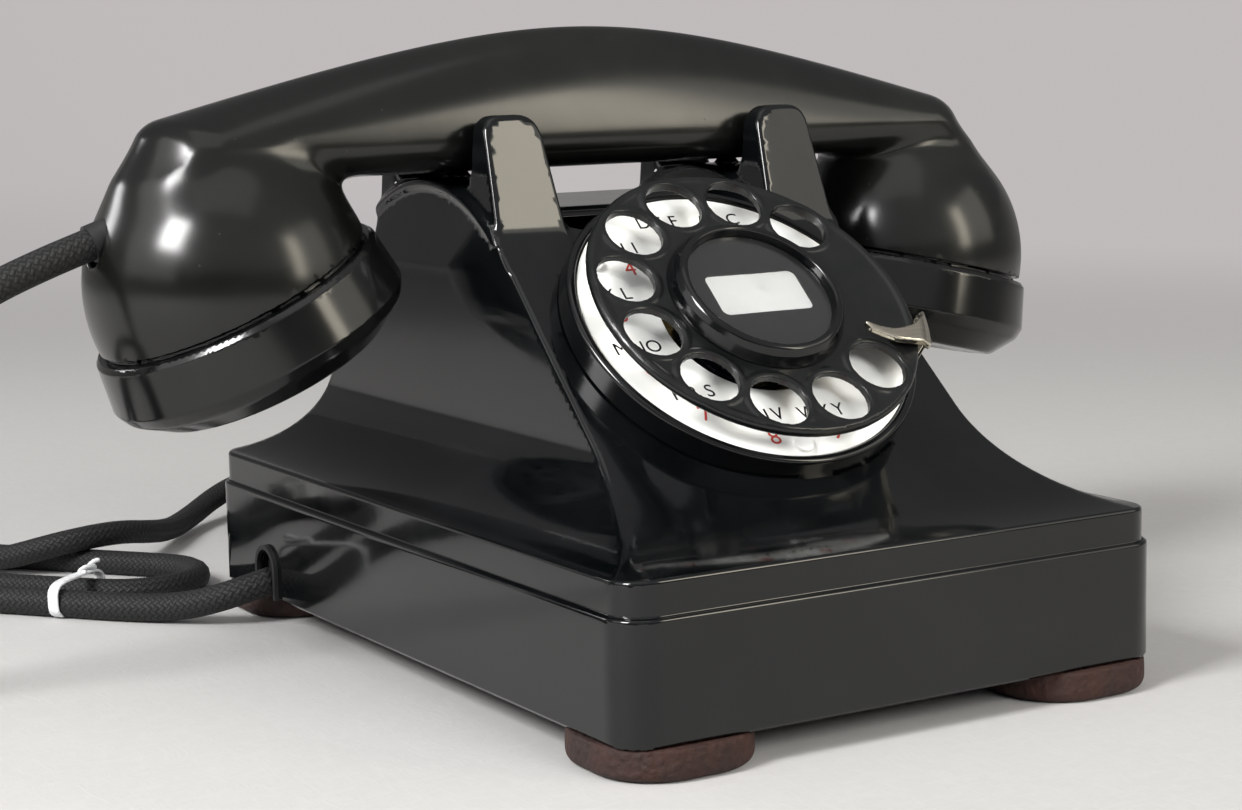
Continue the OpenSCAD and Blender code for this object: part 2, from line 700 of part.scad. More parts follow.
// x, half width, underside, ridge, top
grip = [[-117, 12, 96, 104, 111], [-112.5, 13.5, 98, 112, 119.5], [-107, 14.5, 99, 116, spine(-107)],
    [-98, 15.4, 99, 118.5, spine(-98)], [-88, 16, 99, 119.4, spine(-88)],
    [-78, 16.4, 100, 119.6, spine(-78)], [-71, 16.6, 103.5, 119.5, spine(-71)],
    [-66, 16.7, 108.5, 119.5, spine(-66)], [-60, 16.8, 111.5, 119.5, spine(-60)],
    [-52, 16.8, grip_z, 119.4, spine(-52)], [-36, 16.8, grip_z, 119.4, spine(-36)],
    [-20, 16.8, grip_z, 119.4, spine(-20)], [0, 16.8, grip_z, 119.4, spine(0)],
    [20, 16.8, grip_z, 119.3, spine(20)], [36, 16.8, grip_z, 119.2, spine(36)],
    [50, 16.8, grip_z, 119, spine(50)], [58, 16.7, 111.5, 118.8, spine(58)],
    [63, 16.6, 108, 118.6, spine(63)], [68, 16.5, 102, 118.3, spine(68)],
    [75, 16.2, 97, 117.8, spine(75)], [85, 15.8, 95, 117, spine(85)],
    [95, 15.2, 95, 115.5, spine(95)], [104.5, 14.4, 95, 113.5, spine(104.5)],
    [109.5, 13.4, 94, 109, 118.3], [113.5, 12, 92, 103, 109.5]];

module handle_form() {
    n = 16;
    m = len(grip);
    pts = [for (g = grip) for (p = grip_ring(g[0], g[1], g[2], g[3], g[4])) p];
    sides = [for (i = [0:m - 2], k = [0:n - 1]) let (k2 = (k + 1) % n)
        for (f = [[i * n + k, (i + 1) * n + k, i * n + k2],
            [i * n + k2, (i + 1) * n + k, (i + 1) * n + k2]]) f];
    polyhedron(pts, concat([[for (k = [0:n - 1]) k]], sides,
        [[for (k = [n - 1:-1:0]) (m - 1) * n + k]]));
}

module at_mouth() {
    translate(mouth_c) rotate([0, 180 - mouth_lean, 0]) children();
}

module at_ear() {
    translate(ear_c) rotate([0, 180 + ear_lean, 0]) children();
}

// Dome of a cup: half a ball open towards its cap, with +Z into the cap
module cup_dome(r) {
    rotate_extrude($fn = 96) polygon(concat([[0, 0]], arc([0, 0], r, 0, -90, 16)));
}

module handset_shell() {
    color("#141516") difference() {
        union() {
            handle_form();
            at_mouth() cup_dome(cup_r);
            at_ear() cup_dome(cup_r - 0.5);
        }
        at_mouth() translate([0, 0, -14]) cylinder(h = 30, r = 25.5, $fn = 96);
        at_ear() translate([0, 0, -14]) cylinder(h = 30, r = 25, $fn = 96);
        at_mouth() translate([0, 0, eps]) cylinder(h = 30, r = 40);
        at_ear() translate([0, 0, eps]) cylinder(h = 30, r = 40);
        translate(hand_route[0]) rotate([0, 90 - exit_fall, 0]) cylinder(h = 22, r = 4.2);
    }
}

// Screw cap: chamfered top edge, flared wall, domed face with sound holes
module cap(r, holes) {
    difference() {
        rotate_extrude($fn = 96) polygon(concat(
            [[r - 3.4, 0.3], [r - 1.3, 0.3], [r - 1.3, 1.3], [r + 0.8, 1.3], [r + 1.7, 2.3],
            [r + 3.3, 13.8]], arc([r + 0.8, 13.9], 2.5, 0, 60, 4), [[r - 5, 18.8]],
            arc([0, -120], 140, 78.6, 90, 6), [[0, 17.5], [r - 7, 16.4], [r - 3.4, 13.5]]));
        for (ring = holes) for (i = [0:ring[0] - 1]) rotate(360 * i / ring[0])
            translate([ring[1], 0, 10]) cylinder(h = 15, r = ring[2]);
    }
}

module mouth_cap() {
    color("#121314") at_mouth() cap(cup_r, [[1, 0, 1.6], [6, 7, 1.6], [12, 14, 1.6]]);
}

module ear_cap() {
    color("#121314") at_ear() cap(cup_r - 0.8, [[1, 0, 1.6], [6, 6.5, 1.6]]);
}

module transmitter_unit() {
    color("#9a9890") at_mouth() {
        translate([0, 0, 4]) cylinder(h = 9, r = 25);
        translate([0, 0, -4]) cylinder(h = 8.5, r = 12);
    }
}

module receiver_unit() {
    color("#9a9890") at_ear() {
        translate([0, 0, 5]) cylinder(h = 8, r = 24.5);
        translate([0, 0, -9]) cylinder(h = 14.5, r = 18);
    }
}

module capsule_springs() {
    color("#c9b27a") {
        at_mouth() for (x = [-8, 8]) translate([x - 2, -1.5, -14]) cube([4, 3, 10]);
        at_ear() for (x = [-9, 9]) translate([x - 2, -1.5, -14]) cube([4, 3, 5]);
    }
}

module handset_cord() {
    color("#1b1a19") {
        tube(spline(hand_route, 1), hand_cord_d / 2, 8);
        tube(spline(inlet_route, 1), hand_cord_d / 2, 8);
    }
}

module handset_cord_coil() {
    color("#1b1a19") translate(coil_c) rotate_extrude($fn = 72)
        translate([coil_in, 0]) square([coil_out - coil_in, 2 * hand_cord_d]);
}

module line_cord() {
    color("#1b1a19") {
        tube(spline(line_route, 1), line_cord_d / 2, 8);
        tube(spline(link_route, 1), line_cord_d / 2, 8);
        tube(spline(plug_route, 1), line_cord_d / 2, 8);
    }
}

// Outline with round ends of radius r about the middles a and b
function round_ends(a, b, r) = let (d = b - a, t = atan2(d[1], d[0]))
    concat(arc(b, r, t - 90, t + 90, 18), arc(a, r, t + 90, t + 270, 18));

module line_cord_loops() {
    color("#1b1a19") translate(loop_c) rotate_extrude($fn = 72)
        translate([loop_in, 0]) square([loop_out - loop_in, 2 * line_cord_d]);
}

module line_cord_hank() {
    color("#1b1a19") linear_extrude(line_cord_d) difference() {
        polygon(round_ends(hank_outer[0], hank_outer[1], hank_out));
        polygon(round_ends(hank_inner[0], hank_inner[1], hank_in));
    }
}

// Collar where the cord leaves the mouthpiece end
module handset_collar() {
    color("#17171a") translate(hand_route[0]) rotate([0, 90 - exit_fall, 0]) {
        translate([0, 0, 0.4]) cylinder(h = 8, r = 4.15);
    }
}

// Small flat plug with a latch and a boot over the cord
module line_plug() {
    color("#c9cbc8") translate([-131, 213, 0]) rotate(130) {
        difference() {
            translate([4, -5.9, 0.4]) cube([21, 11.8, 6.6]);
            for (i = [0:3]) translate([18, -3.3 + 2 * i, 5.2]) cube([8, 0.8, 3]);
        }
        translate([9, -2.8, 7]) cube([13, 5.6, 1.2]);
        translate([0, 0, 3.6]) rotate([0, 90, 0]) cylinder(h = 4, r = 3.6);
    }
}

// Narrow strap over the inlet cord and the hank's front run
module cord_tie() {
    color("#e8e8e4") translate([-101.5, 113.5, 0]) rotate(39.7) difference() {
        translate([-13, -2.2, 0]) cube([26, 4.4, 9]);
        translate([-11.8, -4, -1]) cube([23.6, 8, 8.8]);
    }
}

module cord_grommets() {
    color("#17171a") {
        along_x(-base_w / 2 + 2, -base_w / 2 + 6) difference() {
            inlet_arch(inlet_r - 0.2);
            translate([0, 0]) square([100, floor_z]);
        }
        along_x(-base_w / 2 - 1, -base_w / 2) difference() {
            inlet_arch(inlet_r + 1.2);
            inlet_arch(inlet_r);
            translate([0, 0]) square([100, foot_h]);
        }
        translate([back_inlet[0], base_d / 2 + 2.6, back_inlet[1]]) rotate([90, 0, 0]) {
            cylinder(h = 2.6, r1 = 5.6, r2 = 7.2);
            cylinder(h = 8, r = 5.4);
        }
    }
}

translate([centre_x, 0, 0]) {
    housing();
    base_plate();
    base_screws();
    foot_front_left();
    foot_front_right();
    foot_back_left();
    foot_back_right();
    foot_rivets();
    dial_bezel();
    dial_cup();
    number_plate();
    dial_screws();
    finger_stop();
    finger_wheel();
    card_ring();
    number_card();
    card_mask();
    card_cover();
    main_shaft();
    drive_gear();
    mainspring();
    pulse_shaft();
    governor_shaft();
    governor_weights();
    governor_drum();
    pulse_springs();
    plunger_left();
    plunger_right();
    plunger_bar();
    hook_spring_stack();
    ringer_frame();
    gong_left();
    gong_right();
    gong_posts();
    ringer_coils();
    ringer_cores();
    clapper();
    induction_coil();
    condenser();
    terminal_strip();
    terminal_screws();
    handset_shell();
    mouth_cap();
    ear_cap();
    transmitter_unit();
    receiver_unit();
    capsule_springs();
    handset_cord();
    line_cord();
    line_cord_loops();
    line_cord_hank();
    handset_cord_coil();
    line_plug();
    cord_tie();
    cord_grommets();
    handset_collar();
}
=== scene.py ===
import math

import bmesh
import bpy
import numpy as np
from mathutils import Matrix, Vector


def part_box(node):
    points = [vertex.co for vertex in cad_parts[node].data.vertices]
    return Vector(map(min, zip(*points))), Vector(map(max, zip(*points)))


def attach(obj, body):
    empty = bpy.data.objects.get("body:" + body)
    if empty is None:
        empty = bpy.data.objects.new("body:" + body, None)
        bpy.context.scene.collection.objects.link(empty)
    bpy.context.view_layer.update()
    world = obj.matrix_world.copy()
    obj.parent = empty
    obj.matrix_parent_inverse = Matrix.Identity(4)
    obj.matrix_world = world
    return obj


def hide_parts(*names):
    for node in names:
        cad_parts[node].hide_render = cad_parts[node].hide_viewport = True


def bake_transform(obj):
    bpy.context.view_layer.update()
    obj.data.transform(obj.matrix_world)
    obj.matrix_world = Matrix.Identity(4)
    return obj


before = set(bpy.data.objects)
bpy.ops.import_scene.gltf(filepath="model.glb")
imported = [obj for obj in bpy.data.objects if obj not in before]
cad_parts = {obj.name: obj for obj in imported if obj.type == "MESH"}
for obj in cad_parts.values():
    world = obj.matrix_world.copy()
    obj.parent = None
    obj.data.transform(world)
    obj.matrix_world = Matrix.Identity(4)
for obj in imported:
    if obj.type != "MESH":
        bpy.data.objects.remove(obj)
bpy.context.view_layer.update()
mm = 0.001
shift = np.array([(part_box("housing")[0][0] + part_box("housing")[1][0]) / 2, 0, 0])  # the plinth's own middle
print("frame loaded")

cameraSet = {
    "place": (-303.64, -497.76, 140.72),  # millimetres
    "target": (-1.73, 8.28, 55.48),
    "roll": -1.23,
    "lens": 72.96,
    "nearest": 0.02,  # metres
}


def makeCamera(s):
    cam = bpy.data.objects.new("camera", bpy.data.cameras.new("camera"))
    cam.data.lens = s["lens"]
    cam.data.sensor_width = 36
    cam.data.clip_start = s["nearest"]
    place = Vector(s["place"]) * mm + Vector(shift)
    aim = (Vector(s["target"]) * mm + Vector(shift) - place).to_track_quat("-Z", "Y").to_matrix()
    turned = aim @ Matrix.Rotation(math.radians(s["roll"]), 3, "Z")
    cam.matrix_world = Matrix.Translation(place) @ turned.to_4x4()
    bpy.context.collection.objects.link(cam)
    bpy.context.scene.camera = cam


makeCamera(cameraSet)


def cosSin(degrees):
    a = math.radians(degrees)
    return math.cos(a), math.sin(a)


# A mesh object from points in millimetres; smooth shaded, or with the normals given for its points.
def addPiece(name, points, faces, body, replaces, normals=None, uv=None):
    mesh = bpy.data.meshes.new(name)
    inFrame = np.asarray(points, float) * mm + shift
    mesh.from_pydata(inFrame.tolist(), [], [list(map(int, f)) for f in faces])
    mesh.polygons.foreach_set("use_smooth", np.ones(len(mesh.polygons), bool))
    if uv is not None:
        layer = mesh.uv_layers.new(name="uv")
        layer.data.foreach_set("uv", np.asarray(uv, np.float32).ravel())
    if normals is not None:
        mesh.normals_split_custom_set_from_vertices(normals.tolist())
    obj = bpy.data.objects.new(name, mesh)
    bpy.context.collection.objects.link(obj)
    if body:
        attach(obj, body)
    if replaces:
        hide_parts(*replaces)
    return obj


# cords: round points in millimetres, the same as in the part's source
handCord = {
    "diameter": 7.0,
    "sides": 18,
    "spacing": 1.6,
    "soften": 7,
    "fall": [[-126, 20.2, 100], [-137, 20.2, 96.2], [-150, 21, 90.5], [-163, 23, 81], [-175, 27, 66],
             [-184, 32, 48], [-191, 38, 30], [-199, 43, 14], [-210, 46, 4.5], [-222, 46.8, 3.5]],
    "coilMiddle": (-215, 92),
    "turns": [45.5, 38.5, 31.5],
    "layers": [3.5, 10.4],
    "inlet": [[-203, 124.6, 10.4], [-194, 128, 10.4], [-180, 134, 10.5], [-166, 140, 6.5], [-152, 142.5, 3.6],
              [-138, 138, 3.5], [-127, 130, 3.5], [-117, 120, 3.5], [-108, 109, 3.5], [-100, 99, 3.5],
              [-92, 90, 3.6], [-84.5, 82, 4.6], [-78.5, 75.2, 6.9], [-73, 71, 9.2], [-66.6, 69.5, 10.9]],
}
lineCord = {
    "diameter": 6.5,
    "sides": 14,
    "spacing": 1.8,
    "soften": 7,
    "leave": [[30, 104.4, 16], [30, 111, 15.4], [30.4, 118, 12.6], [34, 127, 8.6], [41, 136.5, 5],
              [50.5, 147, 3.5], [58.2, 158.5, 3.3], [62.2, 169.5, 3.3], [63.1, 180, 3.3]],
    "coilMiddle": (20, 180),
    "turns": [43.1, 36.4, 29.7],
    "layers": [3.3, 9.9],
    "link": [[10.6, 222.1, 9.9], [-2, 219.3, 9.9], [-14.5, 214.3, 9.4], [-26.5, 206.8, 7.2],
             [-37, 197.5, 4.8], [-46, 187, 4.2], [-54, 176.5, 5.2], [-63, 166.5, 7.4], [-73, 159.3, 9.6],
             [-84, 156, 9.9], [-94, 158.5, 8.2], [-103, 167.5, 4.6]],
    "hankOuter": [(-81, 127), (-127, 182), 16.5],
    "hankInner": [(-129.5, 180), 13.5],
    "start": [30, 97, 16.4],  # inside the wall
    "plug": [[-108, 186, 3.3], [-116, 195.4, 3.3], [-124, 204.6, 3.3], [-131, 213, 3.6]],
}


# cords: a smooth path, then a tube carried along it, with its length and way round kept as a map
# Catmull-Rom: a cubic between each two points, whose slope at a point is half the step between its neighbours
def spline(p, n=12):
    p = np.asarray(p, float)
    e = np.concatenate([[2 * p[0] - p[1]], p, [2 * p[-1] - p[-2]]])
    t = np.arange(n)[:, None] / n
    parts = []
    for a, b, c, d in zip(e[:-3], e[1:-2], e[2:-1], e[3:]):
        parts.append(0.5 * (2 * b + (c - a) * t + (2 * a - 5 * b + 4 * c - d) * t * t
                            + (3 * b - a - 3 * c + d) * t ** 3))
    return np.concatenate(parts + [p[-1:]])


# a part of a turn about the middle; radius, height may change along it
def sweep(middle, radius, height, start, end, n):
    a = np.radians(np.linspace(start, end, n))
    r, z = np.linspace(*radius, n), np.linspace(*height, n)
    return np.stack([middle[0] + r * np.cos(a), middle[1] + r * np.sin(a), z], 1)


# how far along the path each point is
def distances(p):
    return np.concatenate([[0], np.cumsum(np.linalg.norm(np.diff(p, axis=0), axis=1))])


# joins the parts, spaces the points evenly and averages out any kink
def evenPath(parts, spacing, soften):
    p = np.concatenate(parts)
    keep = np.concatenate([[True], np.linalg.norm(np.diff(p, axis=0), axis=1) > 0.01])
    p = p[keep]
    for width in (soften, 1.5):
        d = distances(p)
        at = np.linspace(0, d[-1], int(d[-1] / spacing) + 1)
        p = np.stack([np.interp(at, d, p[:, i]) for i in range(3)], 1)
        n = max(1, int(width / spacing))
        kernel = np.hanning(2 * n + 3)[1:-1]
        kernel /= kernel.sum()
        padded = np.concatenate([2 * p[0] - p[n:0:-1], p, 2 * p[-1] - p[-2:-n - 2:-1]])
        p = np.stack([np.convolve(padded[:, i], kernel, "valid") for i in range(3)], 1)
    return p


def coilPath(s):
    big, mid, small = s["turns"]
    low, up = s["layers"]
    # degrees at which each lane begins and ends, its radius and height there, and its points
    lanes = [(261.1, -30, big, big, low, 110), (-30, -90, big, mid, low, 24), (-90, -390, mid, mid, low, 100),
             (-390, -450, mid, small, low, 20), (-450, -585, small, small, low, 50),
             (-585, -635, small, small, up, 20)]
    return [sweep(s["coilMiddle"], (r0, r1), (low, z), a, b, n) for a, b, r0, r1, z, n in lanes]


def handPath(s=handCord):
    start = np.array(s["fall"][0], float)
    inward = start + (start - np.array(s["fall"][1])) * 0.45
    parts = [inward[None], spline(s["fall"])[:-2]] + coilPath(s) + [spline(s["inlet"])]
    return evenPath(parts, s["spacing"], s["soften"])


def linePath(s=lineCord):
    c = s["coilMiddle"]
    big, mid, small = s["turns"]
    low, up = s["layers"]
    # degrees at which each lane begins and ends, its radius and its height
    stops = [(0, 225, big, big, low, low), (225, 290, big, mid, low, low), (290, 585, mid, mid, low, low),
             (585, 650, mid, small, low, low), (650, 880, small, small, low, low),
             (880, 945, small, small, low, up), (945, 1180, small, small, up, up),
             (1180, 1240, small, mid, up, up), (1240, 1540, mid, mid, up, up),
             (1540, 1600, mid, big, up, up), (1600, 1901, big, big, up, up)]
    coil = [sweep(c, (r0, r1), (z0, z1), a, b, max(12, (b - a) // 3)) for a, b, r0, r1, z0, z1 in stops]
    e, f, r1 = s["hankOuter"]
    f2, r2 = s["hankInner"]
    back = math.degrees(math.atan2(f[1] - e[1], f[0] - e[0])) - 90
    hank = [sweep(f2, (r2, r2), (low, low), back, back + 180, 40),
            sweep(e, (r1, r1), (low, low), back + 180, back + 360, 40)]
    start = np.array([s["start"]], float)
    parts = [start, spline(s["leave"])[:-1]] + coil + [spline(s["link"])] + hank + [spline(s["plug"])]
    return evenPath(parts, s["spacing"], s["soften"])


# faces between rows of points, each row closed on itself; looped also joins the last row to the first
def gridFaces(rows, around, looped=False):
    i, j = np.divmod(np.arange((rows if looped else rows - 1) * around), around)
    i2, j2 = (i + 1) % rows, (j + 1) % around
    return np.stack([i * around + j, i * around + j2, i2 * around + j2, i2 * around + j], 1)


# rings square to the path, carried along it without twist; the map runs along in girths, and round
def tubeMesh(path, radius, sides):
    p = np.asarray(path, float)
    t = np.gradient(p, axis=0)
    t /= np.linalg.norm(t, axis=1)[:, None]
    u = np.zeros_like(p)
    u[0] = np.cross(t[0], [0.1, 0, 1])
    u[0] /= np.linalg.norm(u[0])
    for i in range(1, len(p)):
        v = u[i - 1] - t[i] * (u[i - 1] @ t[i])
        u[i] = v / np.linalg.norm(v)
    w = np.cross(t, u)
    a = np.linspace(0, 2 * math.pi, sides, endpoint=False)
    out = np.cos(a)[None, :, None] * u[:, None] + np.sin(a)[None, :, None] * w[:, None]
    rings = p[:, None] + radius * out
    m = len(p)
    d = distances(p) / (2 * math.pi * radius)
    i, j = np.divmod(np.arange((m - 1) * sides), sides)
    uv = [np.stack([d[i + di], (j + dj) / sides], 1) for di, dj in ((0, 0), (0, 1), (1, 1), (1, 0))]
    uv = np.stack(uv, 1).reshape(-1, 2)
    ends = [list(range(sides))[::-1], [(m - 1) * sides + k for k in range(sides)]]
    faces = gridFaces(m, sides).tolist() + ends
    return rings.reshape(-1, 3), faces, np.concatenate([uv, np.zeros((2 * sides, 2))])


tie = {
    "middle": (-101.5, 113.5),
    "turn": 39.7,
    "half": (12.0, 4.35),
    "height": 4.5,
    "square": (0.45, 0.6),  # powers of the loop's two sizes; the lower, the squarer
    "strap": (1.5, 0.45),  # half width and half thickness
    "strapSquare": (0.5, 0.7),
    "wander": 0.5,  # sideways, once round the loop
    "points": (72, 10),  # round the loop and round the strap
    "tail": (2.5, 7.5),  # where the ends begin, along the top, and how far they run
    "tailHeight": (9.3, 0.9),  # and their rise
    "twist": 5.5,
    "apart": (0.62, 2.0),  # of each end from the twist's axis, and how fast the tips open
    "tailRadius": 0.6,
}


def superPower(v, size, power):
    return size * np.sign(v) * np.abs(v) ** power


# A flat strap round a rounded oblong, its two ends twisted together on top. The loop is a superellipse,
# the strap's section another, and each end is a helix that opens out at its tip.
def makeTie(s=tie):
    n, m = s["points"]
    t = np.linspace(0, 2 * math.pi, n, endpoint=False)
    a, c = s["half"]
    co, si = np.cos(t), np.sin(t)
    x = superPower(co, a, s["square"][0])
    z = s["height"] + superPower(si, c, s["square"][1])
    outX, outZ = co / a * 5, si / c * 3
    size = np.hypot(outX, outZ)
    q = np.linspace(0, 2 * math.pi, m, endpoint=False)
    across = superPower(np.cos(q), s["strap"][0], s["strapSquare"][0])
    off = superPower(np.sin(q), s["strap"][1], s["strapSquare"][1])
    ring = np.stack([x[:, None] + off * (outX / size)[:, None],
                     np.broadcast_to(across, (n, m)) + s["wander"] * np.sin(t + 1)[:, None],
                     z[:, None] + off * (outZ / size)[:, None]], 2).reshape(-1, 3)
    faces = gridFaces(n, m, True)[:, ::-1].tolist()
    points = [ring]
    h = np.linspace(0, 1, 26)
    (start, reach), (tall, rise), (near, opening) = s["tail"], s["tailHeight"], s["apart"]
    for begin in (0, math.pi):
        turn = h * s["twist"] + begin
        wide = near + opening * np.clip(h - 0.75, 0, 1)
        path = np.stack([start + reach * h, wide * np.cos(turn), tall + wide * np.sin(turn) + rise * h], 1)
        more, quads, _ = tubeMesh(path, s["tailRadius"], 8)
        count = sum(len(p) for p in points)
        points.append(more)
        faces += [[count + v for v in f] for f in quads]
    flat = np.concatenate(points)
    co, si = cosSin(s["turn"])
    world = np.stack([s["middle"][0] + flat[:, 0] * co - flat[:, 1] * si,
                      s["middle"][1] + flat[:, 0] * si + flat[:, 1] * co, flat[:, 2]], 1)
    return addPiece("tieStrap", world, faces, "base", ["cord_tie"])


def makeCords():
    hand, line = handPath(), linePath()
    points, faces, uv = tubeMesh(hand, handCord["diameter"] / 2, handCord["sides"])
    piece = addPiece("handsetCord", points, faces, None, ["handset_cord", "handset_cord_coil"],
                     None, uv)
    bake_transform(piece)
    points, faces, uv = tubeMesh(line, lineCord["diameter"] / 2, lineCord["sides"])
    piece = addPiece("lineCord", points, faces, "base", ["line_cord", "line_cord_loops", "line_cord_hank"],
                     None, uv)
    makeTie()


makeCords()
print("camera and cords done")


# soft joins of two fields: where they are within k of each other the corner is rounded
def softMin(a, b, k):
    h = np.clip(k - np.abs(a - b), 0, None)
    return np.minimum(a, b) - h * h / (4 * k)


def softMax(a, b, k):
    return -softMin(-a, -b, k)


def gradient(field, p, h=0.04):
    g = np.empty_like(p)
    for i in range(3):
        d = np.zeros(3)
        d[i] = h
        up, down = p + d, p - d
        g[:, i] = (field(*up.T) - field(*down.T)) / (2 * h)
    return g


# each point moves down the slope of the field to where it is nought
def ontoSurface(field, p, reach, rounds=4):
    for _ in range(rounds):
        g = gradient(field, p)
        d = field(*p.T) / np.maximum((g * g).sum(1), 0.05)
        p = p - g * np.clip(d, -reach, reach)[:, None]
    return p


# One point in each grid cell that the surface crosses, four-sided faces between them.
def fieldSurface(field, low, high, step):
    axes = [np.arange(a, b + step, step) for a, b in zip(low, high)]
    grid = field(axes[0][:, None, None], axes[1][None, :, None], axes[2][None, None, :])
    f = np.array(np.broadcast_to(grid, [len(a) for a in axes]))
    inside = f < 0
    corners = [(i, j, k) for i in (0, 1) for j in (0, 1) for k in (0, 1)]
    cells = [len(a) - 1 for a in axes]
    count = np.zeros(cells, np.int8)
    for i, j, k in corners:
        count += inside[i:i + cells[0], j:j + cells[1], k:k + cells[2]]
    where = np.argwhere((count > 0) & (count < 8))
    ids = np.full(cells, -1)
    ids[tuple(where.T)] = np.arange(len(where))
    total = np.zeros((len(where), 3))
    hits = np.zeros(len(where))
    for a in corners:
        for axis in range(3):
            if a[axis]:
                continue
            b = tuple(1 if n == axis else a[n] for n in range(3))
            fa = f[tuple((where + a).T)]
            fb = f[tuple((where + b).T)]
            cut = (fa < 0) != (fb < 0)
            t = np.where(cut, fa / np.where(cut, fa - fb, 1), 0)
            spot = np.array(a, float) + t[:, None] * (np.array(b) - np.array(a))
            total += np.where(cut[:, None], spot, 0)
            hits += cut
    points = np.array([a[0] for a in axes]) + (where + total / hits[:, None]) * step
    quads = []
    for axis in range(3):
        one, two = (axis + 1) % 3, (axis + 2) % 3
        first = [slice(1, -1)] * 3
        first[axis] = slice(0, -1)
        second = list(first)
        second[axis] = slice(1, None)
        a, b = inside[tuple(first)], inside[tuple(second)]
        spot = np.argwhere(a != b)
        spot[:, one] += 1
        spot[:, two] += 1
        out = inside[tuple(spot.T)]
        ring = []
        for da, db in ((1, 1), (0, 1), (0, 0), (1, 0)):
            cell = spot.copy()
            cell[:, one] -= da
            cell[:, two] -= db
            ring.append(ids[tuple(cell.T)])
        q = np.stack(ring, 1)
        quads.append(np.where(out[:, None], q, q[:, ::-1]))
    quads = np.concatenate(quads)
    points = ontoSurface(field, points, step / 2)
    ends = np.concatenate([quads, np.roll(quads, 1, 1)], 1).reshape(-1, 2, 4)
    a, b = ends[:, 0].ravel(), ends[:, 1].ravel()
    for _ in range(2):
        near = np.stack([np.bincount(a, points[b, n], len(points)) for n in range(3)], 1)
        near += np.stack([np.bincount(b, points[a, n], len(points)) for n in range(3)], 1)
        near /= (np.bincount(a, minlength=len(points)) + np.bincount(b, minlength=len(points)))[:, None]
        points = ontoSurface(field, points + 0.6 * (near - points), step / 3, 2)
    return points, quads


# Edges whose ends face more than the angle apart are halved, and the new points go onto the surface.
def refined(field, points, faces, angle, times):
    bm = bmesh.new()
    mesh = bpy.data.meshes.new("work")
    mesh.from_pydata(points.tolist(), [], faces.tolist())
    bm.from_mesh(mesh)
    bpy.data.meshes.remove(mesh)
    for n in range(times):
        bm.verts.ensure_lookup_table()
        bm.edges.ensure_lookup_table()
        p = np.array([v.co[:] for v in bm.verts])
        g = gradient(field, p)
        g /= np.linalg.norm(g, axis=1)[:, None]
        ends = np.array([[v.index for v in e.verts] for e in bm.edges])
        span = np.linalg.norm(p[ends[:, 0]] - p[ends[:, 1]], axis=1)
        turn = (g[ends[:, 0]] * g[ends[:, 1]]).sum(1)
        pick = np.flatnonzero((turn < math.cos(math.radians(angle))) & (span > 0.25))
        bmesh.ops.subdivide_edges(bm, edges=[bm.edges[i] for i in pick], cuts=1, use_grid_fill=True)
        bm.verts.ensure_lookup_table()
        q = np.array([v.co[:] for v in bm.verts])
        q = ontoSurface(field, q, 0.5, 4)
        for v, c in zip(bm.verts, q.tolist()):
            v.co = c
    bmesh.ops.triangulate(bm, faces=[f for f in bm.faces if len(f.verts) > 4])
    bm.verts.index_update()
    points = np.array([v.co[:] for v in bm.verts])
    faces = [[v.index for v in f.verts] for f in bm.faces]
    bm.free()
    return points, faces


# points, faces and normals of a field's surface
def surfaceOf(field, low, high, step, angle=0, times=0):
    points, faces = fieldSurface(field, low, high, step)
    if times:
        points, faces = refined(field, points, faces, angle, times)
    g = gradient(field, points, 0.02)
    print("a surface of", len(points), "points")
    return points, faces, g / np.maximum(np.linalg.norm(g, axis=1), 1e-6)[:, None]


# outlines made of straight and arc stretches, each with its own side
def arcSide(u, v, middle, radius):
    return radius - np.hypot(u - middle[0], v - middle[1])


def lineSide(u, v, spot, slope):
    co, si = cosSin(slope)
    return (u - spot[0]) * -si + (v - spot[1]) * co


def along(u, v, spot, slope):
    co, si = cosSin(slope)
    return (u - spot[0]) * co + (v - spot[1]) * si


def onArc(middle, radius, degrees):
    co, si = cosSin(degrees)
    return (middle[0] + radius * co, middle[1] + radius * si)


def roundedBlock(x, y, wide, deep, radius):
    dx = np.abs(x) - wide / 2 + radius
    dy = np.abs(y) - deep / 2 + radius
    return np.hypot(np.maximum(dx, 0), np.maximum(dy, 0)) + np.minimum(np.maximum(dx, dy), 0) - radius


def meeting(p1, n1, d1, p2, n2, d2):
    return np.linalg.solve(np.array([n1, n2]), [np.dot(p1, n1) + d1, np.dot(p2, n2) + d2])


